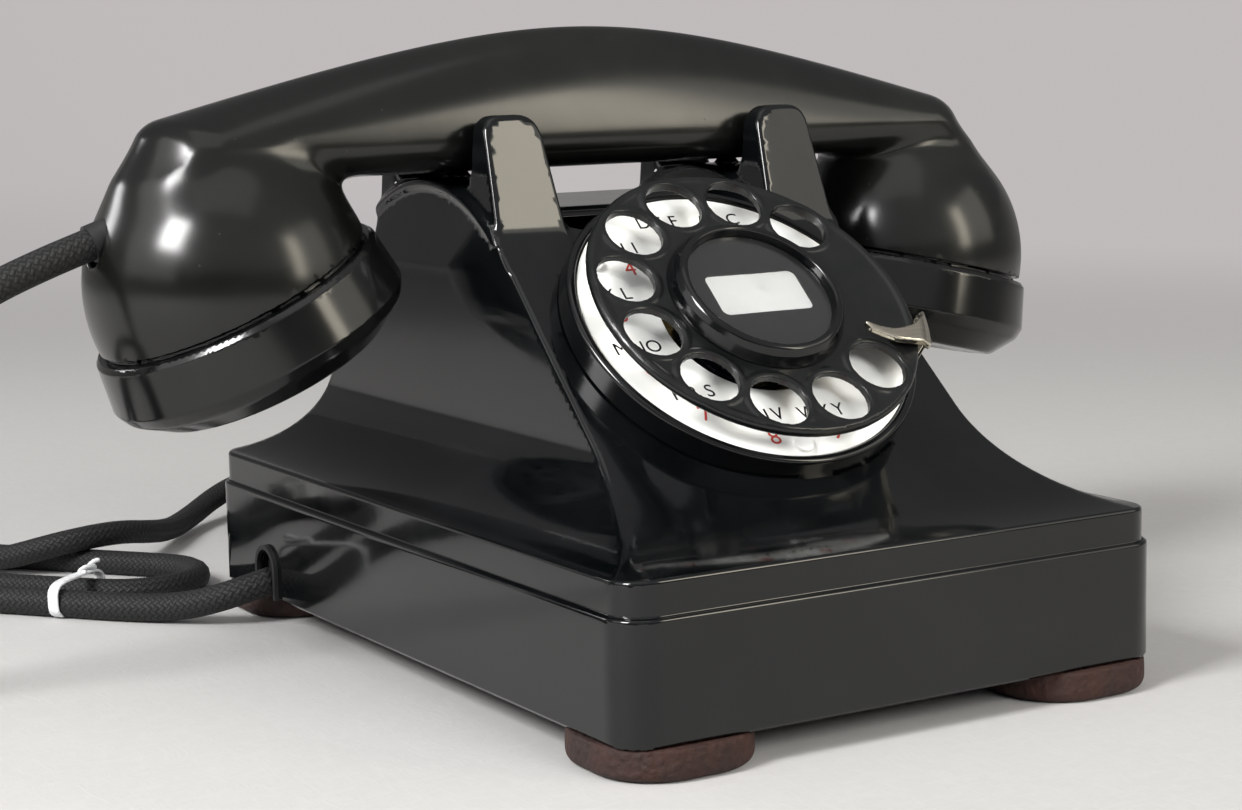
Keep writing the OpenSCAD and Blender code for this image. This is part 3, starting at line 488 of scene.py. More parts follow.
housing = {
    "wide": 134.8,
    "deep": 203.2,
    "foot": 6.9,
    "step": 32.3,
    "stepIn": 1.1,
    "plinth": 39.5,
    "corner": 8.0,
    "wall": 2.4,
    "frontArc": ((-108, 116.8), 77.6),
    "backArc": ((117.5, 91.3), 54.4),
    "dialSlope": 41.7,
    "backSlope": 55.8,
    "earSlope": 71.2,
    "earFoot": (-6, 120),
    "earBlend": 20.0,
    "backY": 46.6,
    "backBlend": 15.0,
    "sideArc": ((67.5, 59.6), 20.1),
    "sideLean": 3.1,
    "deck": 104.0,
    "deckHalf": 28.5,
    "saddle": ((20.2, 57.7), 52.6),
    "earTop": 125.0,
    "earLow": 92.0,  # the ears' field starts below the saddle
    "earInner": (27.2, 0.08),  # half distance at height 100, and lean
    "earOuter": (44.8, 0.07),
    "notchHalf": 18.8,  # half depth of the notch that the handle lies in
    "notchWider": (113.0, 0.3),  # below this height the notch narrows by this slope
    "crownTop": 96.8,
    "lip": (44.9, 97.0, 1.1),  # rolled lip on the saddle's side: half distance, lowest height, radius
    "bezelSeat": (41.05, -12.9),  # radius and depth in the wheel's axes
    "dialWell": (37.6, -36.5),
    "plungerHoles": (37.0, 20.2, 3.05, 90.0),  # half distance, y, radius, lowest height
    "inlet": (69.5, 14.0, 4.7, -60.0),  # arched way in: y, height, radius, how far in
    "outlet": (30.0, 16.0, 5.5, 95.0),  # round way out at the back: x, height, radius, how far in
    "edge": 1.2,  # roundings: of most edges, of the finest, of the deck's foot, the ears and the notch
    "fine": 0.8,
    "deckFoot": 5,
    "earInside": 5.5,
    "earOutside": 4.5,
    "earEdge": 2.0,
    "notchFoot": 7,
}
dialPlace = {"middle": (0, -46.95, 85.02), "tilt": 41.7}


def toDial(x, y, z):
    co, si = cosSin(dialPlace["tilt"])
    dy, dz = y - dialPlace["middle"][1], z - dialPlace["middle"][2]
    return x, dy * co + dz * si, dz * co - dy * si


def fromDial(p):
    x, y, z = np.asarray(p, float).T
    m, (co, si) = dialPlace["middle"], cosSin(dialPlace["tilt"])
    return np.stack([x + m[0], y * co - z * si + m[1], y * si + z * co + m[2]], 1)


# an arc, a straight slope, a rounded turn and a steep line: the front of the housing, seen from the side
def outlineSide(y, z, arc, slope, steepFoot, steep, blend):
    middle, radius = arc
    start = onArc(middle, radius, slope - 90)
    (co, si), (steepCo, steepSi) = cosSin(slope), cosSin(steep)
    turn = meeting(start, (-si, co), blend, steepFoot, (-steepSi, steepCo), blend)
    a, b = onArc(turn, blend, slope - 90), onArc(turn, blend, steep - 90)
    f = np.where(along(y, z, b, steep) > 0, lineSide(y, z, steepFoot, steep), arcSide(y, z, turn, blend))
    f = np.where(along(y, z, a, slope) > 0, f, lineSide(y, z, start, slope))
    return np.where(along(y, z, start, slope) > 0, f, arcSide(y, z, middle, radius))


def frontOutline(y, z, s):
    return outlineSide(y, z, s["frontArc"], s["dialSlope"], s["earFoot"], s["earSlope"], s["earBlend"])


# the same, on the y axis turned about; its steep line is upright
def backOutline(y, z, s):
    (across, tall), radius = s["backArc"]
    return outlineSide(-y, z, ((-across, tall), radius), s["backSlope"], (-s["backY"], 0), 90, s["backBlend"])


def sideOutline(x, z, s):
    middle, radius = s["sideArc"]
    lean = s["sideLean"]
    start = onArc(middle, radius, 180 + lean)
    line = along(x, z, start, lean)
    return np.where(along(x, z, start, 90 + lean) > 0, line, arcSide(x, z, middle, radius))


# everything above the step stands back from the plinth's sides
def upperColumn(x, y, s):
    back = s["stepIn"]
    return roundedBlock(x, y, s["wide"] - 2 * back, s["deep"] - 2 * back, s["corner"] - back)


# front, back and side outlines, saddles, deck, ears and the plinth's band together
def housingOuter(x, y, z, s=housing):
    e = s["edge"]
    x = np.abs(x)
    profile = softMax(frontOutline(y, z, s), backOutline(y, z, s), e)
    side = sideOutline(x, z, s)
    (sy, sz), sr = s["saddle"]
    crownOut = np.hypot(y - sy, z - sz) - sr
    crown = np.minimum(crownOut, z - s["crownTop"])
    lipX, lipLow, lipRound = s["lip"]
    lip = np.maximum(np.hypot(crownOut + lipRound, x - lipX) - lipRound, lipLow - z)
    body = softMax(side, crown, e)
    body = softMin(body, lip, s["fine"])
    # the deck between the saddles, with a fillet at its foot
    deckVoid = softMax(x - s["deckHalf"], s["deck"] - z, s["deckFoot"])
    body = softMax(body, -deckVoid, e)
    # ears
    inner = s["earInner"][0] + (z - 100) * s["earInner"][1] - x
    outer = x - s["earOuter"][0] + (z - 100) * s["earOuter"][1]
    ear = softMax(softMax(inner, z - s["earTop"], s["earInside"]), outer, s["earOutside"])
    ear = np.maximum(ear, s["earLow"] - z)
    half = np.abs(y - sy)
    narrow, slope = s["notchWider"]
    void = softMax(half - s["notchHalf"] + np.clip(narrow - z, 0, 2) * slope, -crownOut, s["notchFoot"])
    ear = softMax(ear, -void, s["earEdge"])
    top = softMin(body, ear, s["earEdge"])
    column = upperColumn(x, y, s)
    top = softMax(softMax(profile, top, e), column, s["fine"])
    band = softMax(roundedBlock(x, y, s["wide"], s["deep"], s["corner"]), z - s["step"], s["fine"])
    return np.maximum(np.minimum(top, band), s["foot"] - z)


# the outer form less the dial's well, the plunger holes, the inside and the cords' ways through
def housingField(x, y, z, s=housing):
    w = s["wall"]
    f = housingOuter(x, y, z)
    dx, dy, dz = toDial(x, y, z)
    away = np.hypot(dx, dy)
    f = softMax(f, -np.maximum(away - s["bezelSeat"][0], s["bezelSeat"][1] - dz), 0.5)
    f = np.maximum(f, -np.maximum(away - s["dialWell"][0], s["dialWell"][1] - dz))
    ax = np.abs(x)
    across, deep, radius, low = s["plungerHoles"]
    f = np.maximum(f, -np.maximum(np.hypot(ax - across, y - deep) - radius, low - z))
    inside = np.maximum(np.maximum(frontOutline(y, z, s), backOutline(y, z, s)), sideOutline(ax, z, s)) + w
    column = upperColumn(x, y, s) + w
    inside = np.maximum(np.maximum(inside, column), z - s["deck"] + w)
    low = np.maximum(column, z - s["plinth"] + w)
    f = np.maximum(f, -np.minimum(inside, low))
    # arched way in for the handset cord, round one for the line cord
    spot, tall, radius, reach = s["inlet"]
    arch = np.minimum(np.hypot(y - spot, z - tall), np.where(z < tall, np.abs(y - spot), 99)) - radius
    f = softMax(f, -np.maximum(arch, x - reach), 0.6)
    spot, tall, radius, reach = s["outlet"]
    return softMax(f, -np.maximum(np.hypot(x - spot, z - tall) - radius, reach - y), 0.6)


def makeHousing():
    low, high = (-69, -103.2, 4.5), (69, 103.2, 127)
    points, faces, normals = surfaceOf(housingField, low, high, step=1.6, angle=14, times=2)
    addPiece("housingShell", points, faces, "base", ["housing"], normals)


handset = {
    "middleY": 20.2,
    "halfWidth": 16.8,
    "under": 112.0,
    "ridge": 119.4,
    "mouth": (-93.9, 88.7, 25.7, 31.9, 33.5),  # x, z, lean, radius, height
    "ear": (89.2, 84.0, -13.1, 31.3, 33.5),
    "leftEnd": ((-115.7, 117.7), (-0.894, 0.447)),
    "rightEnd": ((102.6, 121.5), (0.842, 0.540)),
    "endRound": 14.0,  # seen from above, the ends are rounded to this radius
    "soft": 5.5,  # where the handle runs into the cups
    "spine": (144.3, 18.0, 0.31, -2.0, 0.012),  # top, roundness and slope of the arch, its middle, fall
    "bore": (14.0, 25.4),  # depth and radius of each cup's hollow
    "cordHole": ((-126, 20.2, 100), 18.8, 4.2, 4.0),  # place, lean, radius, depth
}


# the handle's top line: a hyperbola about its middle, falling a little to the right
def spine(x, s=handset):
    top, bend, slope, middle, fall = s["spine"]
    return top - (np.sqrt(bend ** 2 + (slope * (x - middle)) ** 2) - bend) - fall * x


# a section that is parabolic above the ridge and nearly square below it, cut by two slanting rounded ends
def handleField(x, y, z, s=handset):
    top, ridge, under = spine(x), s["ridge"], s["under"]
    u = np.abs(y - s["middleY"]) / s["halfWidth"]
    v = (z - ridge) / (top - ridge)
    w = (ridge - z) / (ridge - under)
    high = u ** 2 + np.maximum(v, 0) ** 1.6 - 1
    slopeHigh = np.hypot(2 * u / s["halfWidth"], 1.6 * np.maximum(v, 0) ** 0.6 / (top - ridge))
    low = u ** 4 + np.maximum(w, 0) ** 2.5 - 1
    slopeLow = np.hypot(4 * u ** 3 / s["halfWidth"], 2.5 * np.maximum(w, 0) ** 1.5 / (ridge - under))
    f = np.where(z > ridge, high / np.maximum(slopeHigh, 0.04), low / np.maximum(slopeLow, 0.06))
    for spot, n in (s["leftEnd"], s["rightEnd"]):
        back = (y - s["middleY"]) ** 2 / (2 * s["endRound"]) * abs(n[0])
        f = softMax(f, ((x - spot[0]) * n[0] + (z - spot[1]) * n[1] + back) / np.sqrt(1 + back / 9), 3)
    return f


# how far along the direction (in the x and z plane) from a spot, and how far from that line
def alongAxis(x, y, z, spot, way):
    dx, dy, dz = x - spot[0], y - spot[1], z - spot[2]
    run = dx * way[0] + dz * way[1]
    return run, np.sqrt(np.maximum(dx * dx + dy * dy + dz * dz - run * run, 0))


# how far towards the cap, and how far from the cup's axis
def cupAxes(x, y, z, cup):
    co, si = cosSin(cup[2])
    return alongAxis(x, y, z, (cup[0], handset["middleY"], cup[1]), (si, -co))


# half of an ellipsoid, divided by its slope to give a distance
def domeField(down, across, cup):
    q = np.sqrt((across / cup[3]) ** 2 + (down / cup[4]) ** 2)
    slope = np.sqrt((across / cup[3] ** 2) ** 2 + (down / cup[4] ** 2) ** 2) / np.maximum(q, 0.05)
    return (q - 1) / np.maximum(slope, 0.01)


# handle and two domes joined softly, cut flat where the caps go, hollow above them, and open for the cord
def handsetField(x, y, z, s=handset):
    f = handleField(x, y, z)
    k = s["soft"]
    for key in ("mouth", "ear"):
        down, across = cupAxes(x, y, z, s[key])
        f = softMin(f, domeField(down, across, s[key]), k)
    for key in ("mouth", "ear"):
        down, across = cupAxes(x, y, z, s[key])
        f = softMax(f, -np.maximum(-down, across - 38), 0.6)
        f = np.maximum(f, -np.maximum(-s["bore"][0] - down, across - s["bore"][1]))
    spot, lean, radius, deep = s["cordHole"]
    co, si = cosSin(lean)
    run, off = alongAxis(x, y, z, spot, (co, -si))
    return softMax(f, -np.maximum(off - radius, -deep - run), 1.0)


def makeHandset():
    low, high = (-135, -14, 68), (126, 55, 148)
    points, faces, normals = surfaceOf(handsetField, low, high, step=1.4, angle=16, times=1)
    for key in ("mouth", "ear"):  # the rims that meet the caps are drawn flat
        cup = handset[key]
        co, si = cosSin(cup[2])
        axis = np.array([si, 0, -co])
        down, across = cupAxes(*points.T, cup)
        rim = (np.abs(down) < 0.45) & (across > cup[3] - 1.5) & (across < cup[3] + 1)
        points[rim] -= down[rim, None] * axis
        out = points[rim] - (cup[0], handset["middleY"], cup[1])
        normals[rim] = out / np.linalg.norm(out, axis=1)[:, None]
    addPiece("handsetShell", points, faces, "handset", ["handset_shell"], normals)


makeHousing()
makeHandset()


# faces with their corners the other way round, from the same first corner
def reversedFaces(faces):
    return np.roll(faces[:, ::-1], 1, 1)


# A closed outline of (radius, height) points carried round its axis; turn places the points.
def turned(profile, steps, turn):
    p = np.asarray(profile, float)
    a = np.linspace(0, 2 * math.pi, steps, endpoint=False)
    spin = np.stack([np.cos(a), np.sin(a), np.ones(steps)], 1)[:, None]
    ring = spin * p[:, [0, 0, 1]]
    faces = reversedFaces(gridFaces(steps, len(p), True))
    # outward normals come from the outline's own two neighbours
    d = np.roll(p, -1, 0) - np.roll(p, 1, 0)
    out = np.stack([d[:, 1], -d[:, 0]], 1)
    area = (p[:, 0] * np.roll(p[:, 1], -1) - np.roll(p[:, 0], -1) * p[:, 1]).sum()
    if area < 0:
        out, faces = -out, faces[:, ::-1]
    out /= np.maximum(np.linalg.norm(out, axis=1), 1e-9)[:, None]
    normal = spin * out[:, [0, 0, 1]]
    base = turn(np.zeros((1, 3)))
    return turn(ring.reshape(-1, 3)), faces, turn(normal.reshape(-1, 3)) - base


# Each corner is (radius, height, rounding); it is cut back and an even curve put between.
def softened(outline, steps=5):
    pts = np.array([c[:2] for c in outline], float)
    rounds = [c[2] for c in outline]
    out = []
    for n, (p, r) in enumerate(zip(pts, rounds)):
        a, b = pts[n - 1] - p, pts[(n + 1) % len(pts)] - p
        la, lb = np.linalg.norm(a), np.linalg.norm(b)
        half = math.acos(np.clip(a @ b / la / lb, -1, 1)) / 2
        cut = min(r / math.tan(half), la * 0.48, lb * 0.48) if r and half < 1.5 else 0
        if cut < 0.01:
            out.append(p)
            continue
        start, end = p + a / la * cut, p + b / lb * cut
        out.append(start + (start - p) * 0.02)
        for t in np.linspace(0, 1, steps + 1):
            # the weight makes the curve a round arc, not a parabola
            w = math.sin(half)
            q = (1 - t) ** 2 + 2 * w * t * (1 - t) + t * t
            out.append(((1 - t) ** 2 * start + 2 * w * t * (1 - t) * p + t * t * end) / q)
        out.append(end + (end - p) * 0.02)
    return out


dial = {
    "wheelRadius": 38.5,
    "holes": 10,
    "holeCircle": 30.0,
    "holeRadius": 6.65,
    "firstHole": 43.1,
    "sheet": (-1.0, 0.65),  # height of the wheel's middle, half thickness
    "rim": 1.25,  # radius of the rolled rim
    "bore": 5.9,
    "bead": (0.75, 0.98),  # how far from the hole's edge, and its radius
    "plate": -7.7,  # height of the number plate
}


def holeAngle(k):
    return math.radians(dial["firstHole"] + 30 * (k - 1))


# a thin plate with a rolled rim, and a raised bead round each finger hole
def wheelField(x, y, z, s=dial):
    r, rim = np.hypot(x, y), s["rim"]
    (middle, half), (out, bead) = s["sheet"], s["bead"]
    f = np.maximum(np.abs(z - middle) - half, r - s["wheelRadius"] + 1.2)
    f = softMin(f, np.hypot(r - s["wheelRadius"] + rim, z + rim) - rim, 0.8)
    f = softMax(f, s["bore"] - r, 0.4)
    for k in range(1, s["holes"] + 1):
        a = holeAngle(k)
        d = np.hypot(x - s["holeCircle"] * math.cos(a), y - s["holeCircle"] * math.sin(a))
        f = softMin(f, np.hypot(d - s["holeRadius"] - out, z - middle) - bead, 0.6)
        f = np.maximum(f, s["holeRadius"] - d)
    return f


# a piece given in the wheel's own axes
def onDial(name, points, faces, normals, body, node):
    base = fromDial(np.zeros((1, 3)))
    return addPiece(name, fromDial(points), faces, body, [node], fromDial(normals) - base)


surface = surfaceOf(wheelField, (-39.5, -39.5, -3.6), (39.5, 39.5, 1.4), step=0.7, angle=24, times=1)
onDial("fingerWheel", *surface, "dial", "finger_wheel")

# turned pieces of the dial: corners of the outline as radius, height above the wheel, and rounding
dialRings = {
    "dialBezel": {"body": "base", "node": "dial_bezel",
                  "outline": [(35.0, -12.9, 0.2), (40.9, -12.9, 0.2), (40.9, -6.9, 1.3), (39.0, -6.9, 0.7),
                              (38.5, -8.7, 0.2), (35.0, -8.7, 0.2)]},
    "cardRing": {"body": "dial", "node": "card_ring",
                 "outline": [(16.9, -0.4, 0.1), (20.6, -0.4, 0.3), (19.6, 2.4, 1.2), (18.6, 4.1, 1.2),
                             (17.2, 4.1, 0.6), (16.9, 2.4, 0.2)]},
    "cardCover": {"body": "dial", "node": "card_cover",
                  "outline": [(0.001, 1.5, 0), (16.85, 1.5, 0), (16.85, 2.0, 0.1), (12.0, 2.45, 2),
                              (0.001, 2.6, 0)]},
}
for name, s in dialRings.items():
    points, faces, normals = turned(softened(s["outline"]), 144, fromDial)
    addPiece(name, points, faces, s["body"], [s["node"]], normals)
print("dial done")

cups = {
    "mouth": {"rim": 31.9, "flare": 35.2, "holes": [(1, 0, 1.6), (6, 7, 1.6), (12, 14, 1.6)]},
    "ear": {"rim": 31.1, "flare": 34.3, "holes": [(1, 0, 1.6), (6, 6.5, 1.6)]},
}


# distance to a closed outline, less than nought inside it
def polygonSide(u, v, pts):
    pts = np.asarray(pts, float)
    best = np.full(np.broadcast(u, v).shape, 1e9)
    inside = np.zeros(best.shape, bool)
    for (ax, ay), (bx, by) in zip(pts, np.roll(pts, -1, 0)):
        ex, ey = bx - ax, by - ay
        t = np.clip(((u - ax) * ex + (v - ay) * ey) / max(ex * ex + ey * ey, 1e-9), 0, 1)
        best = np.minimum(best, (u - ax - t * ex) ** 2 + (v - ay - t * ey) ** 2)
        if abs(ey) > 1e-9:
            cross = ((ay > v) != (by > v)) & (u < ex * (v - ay) / ey + ax)
            inside ^= cross
    return np.where(inside, -1, 1) * np.sqrt(best)


def capField(x, y, z, key="mouth"):
    c = cups[key]
    rim, flare = c["rim"], c["flare"]
    outline = softened([(rim - 3.3, 0.5, 0.1), (rim - 1.1, 0.5, 0.1), (rim - 1.1, 1.3, 0.2),
                        (rim + 0.9, 1.3, 0.3), (rim + 1.9, 2.4, 0.4), (flare, 12.9, 0.6),
                        (flare - 1.2, 15.6, 3.0), (27.5, 20.4, 2.5), (22.0, 20.9, 3), (16, 19.6, 4),
                        (0, 19.0, 0), (0, 17.2, 0), (16, 17.6, 0), (23, 16.4, 0.5),
                        (rim - 3.3, 13.5, 0.5)], 4)
    r = np.hypot(x, y)
    f = polygonSide(r, z, outline)
    for count, ring, hole in c["holes"]:
        for n in range(count):
            a = 2 * math.pi * n / count
            f = softMax(f, hole - np.hypot(x - ring * math.cos(a), y - ring * math.sin(a)), 0.5)
    return f


def makeCap(name, key, node):
    def field(x, y, z):
        return capField(x, y, z, key)

    low, high = (-36.5, -36.5, -0.6), (36.5, 36.5, 22)
    points, faces, normals = surfaceOf(field, low, high, step=1.25, angle=18, times=2)
    # the cap's own z runs along the cup's axis, away from the dome
    cup = handset[key]
    co, si = cosSin(cup[2])
    axes = np.array([[-co, 0, -si], [0, 1, 0], [si, 0, -co]])
    middle = np.array([cup[0], handset["middleY"], cup[1]])
    addPiece(name, points @ axes + middle, faces, "handset", [node], normals @ axes)


makeCap("mouthCap", "mouth", "mouth_cap")
makeCap("earCap", "ear", "ear_cap")

foot = {
    "wide": 35,
    "corner": 14,
    "low": 0.05,
    "top": 6.85,
    "bulge": 0.018,
    "middle": 3.6,  # height of the bulge
    "across": 50.9,
    "along": 86.2,
}


# a rounded square whose side moves out by the square of the height off its middle, softer at its lower edge
def footField(x, y, z, s=foot):
    side = roundedBlock(x, y, s["wide"], s["wide"], s["corner"]) + s["bulge"] * (z - s["middle"]) ** 2
    return softMax(softMax(side, z - s["top"], 0.8), s["low"] - z, 2.6)


points, faces, normals = surfaceOf(footField, (-19, -19, -1), (19, 19, 8.4), step=1.2, angle=22, times=1)
for end, y in (("Front", -foot["along"]), ("Back", foot["along"])):
    for side, x in (("Left", -foot["across"]), ("Right", foot["across"])):
        node = f"foot_{end.lower()}_{side.lower()}"
        addPiece(f"foot{end}{side}", points + (x, y, 0), faces, "base", [node], normals)
print("feet done")

fingerStop = {
    # outline seen from the front, in the wheel's own x and y
    "outline": [(20.9, -10.3, 0.9), (24.5, -12.9, 6), (28.4, -14.3, 6), (33.9, -13.4, 6),
                (38.0, -10.6, 4), (39.6, -8.6, 1.2), (41.2, -9.8, 0.8), (39.4, -16.2, 3),
                (36.2, -18.9, 3), (32.0, -18.4, 5), (27.2, -17.2, 6), (22.4, -13.9, 3)],
    "height": 1.75,
    "thick": 0.85,
    "drop": (37.4, 0.16),  # past this radius it falls as the square of the way out
    "leg": (-20, 39.9, 0.6, 4.6),  # direction, radius, half thickness, half width
    "legMiddle": (-3.2, 4.2),  # height of its middle, half length
}


def stopField(x, y, z, s=fingerStop):
    r = np.hypot(x, y)
    rise = s["height"] - np.clip(r - s["drop"][0], 0, None) ** 2 * s["drop"][1]
    flat = softMax(polygonSide(x, y, softened(s["outline"], 4)), np.abs(z - rise) - s["thick"], 0.5)
    # the leg that hooks over the rim and goes down to the bezel
    degrees, radius, thick, wide = s["leg"]
    co, si = cosSin(degrees)
    u = x * co + y * si
    v = y * co - x * si
    leg = softMax(np.abs(u - radius + 0.02 * v * v) - thick, np.abs(v) - wide, 0.6)
    leg = softMax(leg, np.abs(z - s["legMiddle"][0]) - s["legMiddle"][1], 0.6)
    return softMin(flat, leg, 1.0)


surface = surfaceOf(stopField, (19, -22, -8.6), (43, -7, 3), step=0.45)
onDial("fingerStop", *surface, "base", "finger_stop")


# printed letters and figures on the number plate
printing = {
    "letters": ["", "ABC", "DEF", "GHI", "JKL", "MNO", "PRS", "TUV", "WXY", ""],
    "figures": "1234567890",
    "letterHeight": 3.5,
    "figureHeight": 4.2,
    "lift": 0.05,
}


# items are (word, x, y, height); all of them become one flat mesh just above the plate
def printed(name, items):
    points, faces = [], []
    for word, x, y, tall in items:
        curve = bpy.data.curves.new("word", "FONT")
        curve.body = word
        curve.size = tall * 1.38
        curve.align_x = "CENTER"
        curve.align_y = "CENTER"
        curve.resolution_u = 5
        curve.extrude = 0.03
        obj = bpy.data.objects.new("word", curve)
        bpy.context.collection.objects.link(obj)
        mesh = bpy.data.meshes.new_from_object(obj.evaluated_get(bpy.context.evaluated_depsgraph_get()))
        start = sum(len(p) for p in points)
        flat = np.array([v.co[:] for v in mesh.vertices])
        middle = (flat.min(0) + flat.max(0)) / 2
        points.append(flat - [middle[0], middle[1], 0] + [x, y, dial["plate"] + printing["lift"]])
        faces += [[start + v for v in f.vertices] for f in mesh.polygons]
        bpy.data.objects.remove(obj)
        bpy.data.curves.remove(curve)
        bpy.data.meshes.remove(mesh)
    obj = addPiece(name, fromDial(np.concatenate(points)), faces, "base", ())
    obj.data.polygons.foreach_set("use_smooth", np.zeros(len(obj.data.polygons), bool))
    return obj


def makePrinting(s=printing):
    letters, figures = [], []
    for k in range(1, 11):
        a = holeAngle(k)
        x, y = dial["holeCircle"] * math.cos(a), dial["holeCircle"] * math.sin(a)
        for n, c in enumerate(s["letters"][k - 1]):
            letters.append((c, x + 4.0 * (n - 1), y + 2.4, s["letterHeight"]))
        figures.append((s["figures"][k - 1], x, y - 3.6 if s["letters"][k - 1] else y, s["figureHeight"]))
    printed("plateLetters", letters)
    printed("plateFigures", figures)


makePrinting()
print("dial printing done")


# finishes: effects shared by several materials are groups with the same sockets, each material sets values
# a node with its settings, and its inputs set to a number or joined to another node's output
def addNode(tree, kind, settings=None, inputs=None):
    n = tree.nodes.new(kind)
    for key, value in (settings or {}).items():
        setattr(n, key, value)
    for key, value in (inputs or {}).items():
        if isinstance(value, bpy.types.NodeSocket):
            tree.links.new(value, n.inputs[key])
        else:
            n.inputs[key].default_value = value
    return n


# a group that takes a place on the piece and a size, and gives a tone (0 to 1) and a height (0 to 1)
def newEffect(name, fill):
    tree = bpy.data.node_groups.new(name, "ShaderNodeTree")
    for socket, way, kind in (("Place", "INPUT", "Vector"), ("Size", "INPUT", "Float"),
                              ("Tone", "OUTPUT", "Float"), ("Height", "OUTPUT", "Float")):
        tree.interface.new_socket(socket, in_out=way, socket_type=f"NodeSocket{kind}")
    start = tree.nodes.new("NodeGroupInput")
    end = tree.nodes.new("NodeGroupOutput")
    per = addNode(tree, "ShaderNodeMath", {"operation": "DIVIDE"}, {0: 1.0, 1: start.outputs["Size"]})
    tone, height = fill(tree, start.outputs["Place"], per.outputs[0])
    tree.links.new(tone, end.inputs["Tone"])
    tree.links.new(height, end.inputs["Height"])
    return tree


def maths(tree, operation, a, b=0.0, clamp=False):
    settings = {"operation": operation, "use_clamp": clamp}
    return addNode(tree, "ShaderNodeMath", settings, {0: a, 1: b}).outputs[0]


def times(tree, a, b, clamp=False):
    return maths(tree, "MULTIPLY", a, b, clamp)


# two values mixed by fixed shares
def shares(tree, a, shareA, b, shareB):
    return maths(tree, "ADD", times(tree, a, shareA), times(tree, b, shareB))


def noise(tree, place, scale, detail=3.0, rough=0.5, bend=0.0):
    n = addNode(tree, "ShaderNodeTexNoise", None,
                {"Vector": place, "Scale": scale, "Detail": detail, "Roughness": rough, "Distortion": bend})
    return n.outputs[0]


def spread(tree, value, low, high):
    n = addNode(tree, "ShaderNodeMapRange", {"interpolation_type": "SMOOTHSTEP"},
                {"Value": value, "From Min": low, "From Max": high})
    return n.outputs[0]


def stretched(tree, place, by):
    return addNode(tree, "ShaderNodeVectorMath", {"operation": "MULTIPLY"}, {0: place, 1: by}).outputs[0]


# cloudy wiping marks, with faint ripples and a few specks of dust
def fillPolish(tree, place, per):
    cloud = spread(tree, noise(tree, place, times(tree, per, 0.12), 4.0, 0.6, 0.6), 0.35, 0.75)
    specks = addNode(tree, "ShaderNodeTexVoronoi", None, {"Vector": place, "Scale": times(tree, per, 0.9)})
    speck = spread(tree, specks.outputs["Distance"], 0.075, 0.03)
    tone = maths(tree, "MAXIMUM", times(tree, cloud, 0.45), speck)
    return tone, noise(tree, place, per, 2.0, 0.5)


# fine lines along one direction, and softer patches
def fillBrush(tree, place, per):
    lines = noise(tree, stretched(tree, place, (0.06, 1.0, 1.0)), per, 4.0, 0.65)
    patch = noise(tree, place, times(tree, per, 0.1), 3.0)
    tone = shares(tree, spread(tree, lines, 0.3, 0.7), 0.6, patch, 0.4)
    return tone, lines


# leather: small pebbles parted by creases, in darker and lighter patches
def fillHide(tree, place, per):
    wobble = addNode(tree, "ShaderNodeTexNoise", None, {"Vector": place, "Scale": per}).outputs["Color"]
    bent = addNode(tree, "ShaderNodeVectorMath", {"operation": "MULTIPLY_ADD"},
                   {0: wobble, 1: (0.0006, 0.0006, 0.0006), 2: place}).outputs[0]
    cell = addNode(tree, "ShaderNodeTexVoronoi", {"feature": "SMOOTH_F1"}, {"Vector": bent, "Scale": per})
    crease = spread(tree, cell.outputs["Distance"], 0.1, 0.75)
    patch = noise(tree, place, times(tree, per, 0.2), 5.0, 0.6)
    nap = noise(tree, place, times(tree, per, 3.0), 3.0, 0.7)
    tone = shares(tree, spread(tree, patch, 0.3, 0.7), 0.6, nap, 0.4)
    return tone, shares(tree, maths(tree, "SUBTRACT", 1.0, crease), 0.6, nap, 0.4)


# paper and card: short fibres felted together
def fillFibre(tree, place, per):
    a = noise(tree, stretched(tree, place, (1.0, 0.25, 1.0)), per, 3.0, 0.6, 1.5)
    b = noise(tree, stretched(tree, place, (0.25, 1.0, 1.0)), per, 3.0, 0.6, 1.5)
    both = maths(tree, "MAXIMUM", a, b)
    return spread(tree, both, 0.35, 0.8), both


# sprayed, cast or moulded skin: fine pits over slow unevenness
def fillCast(tree, place, per):
    fine = noise(tree, place, per, 5.0, 0.7)
    slow = noise(tree, place, times(tree, per, 0.08), 3.0)
    tone = shares(tree, fine, 0.5, spread(tree, slow, 0.3, 0.7), 0.5)
    return tone, fine


# wire wound side by side along the left-right direction; every turn is a ridge
def fillWound(tree, place, per):
    wave = addNode(tree, "ShaderNodeTexWave", {"bands_direction": "X", "wave_profile": "SIN"},
                   {"Vector": place, "Scale": times(tree, per, 0.05), "Distortion": 0.4, "Detail Scale": 2.0})
    fine = noise(tree, place, times(tree, per, 0.4), 2.0)
    # painted shade: the colour is darker in the grooves between turns and lighter on their crowns, with fine
    # noise as the wire's own tone
    tone = shares(tree, wave.outputs[1], 0.7, fine, 0.3)
    return tone, wave.outputs[1]


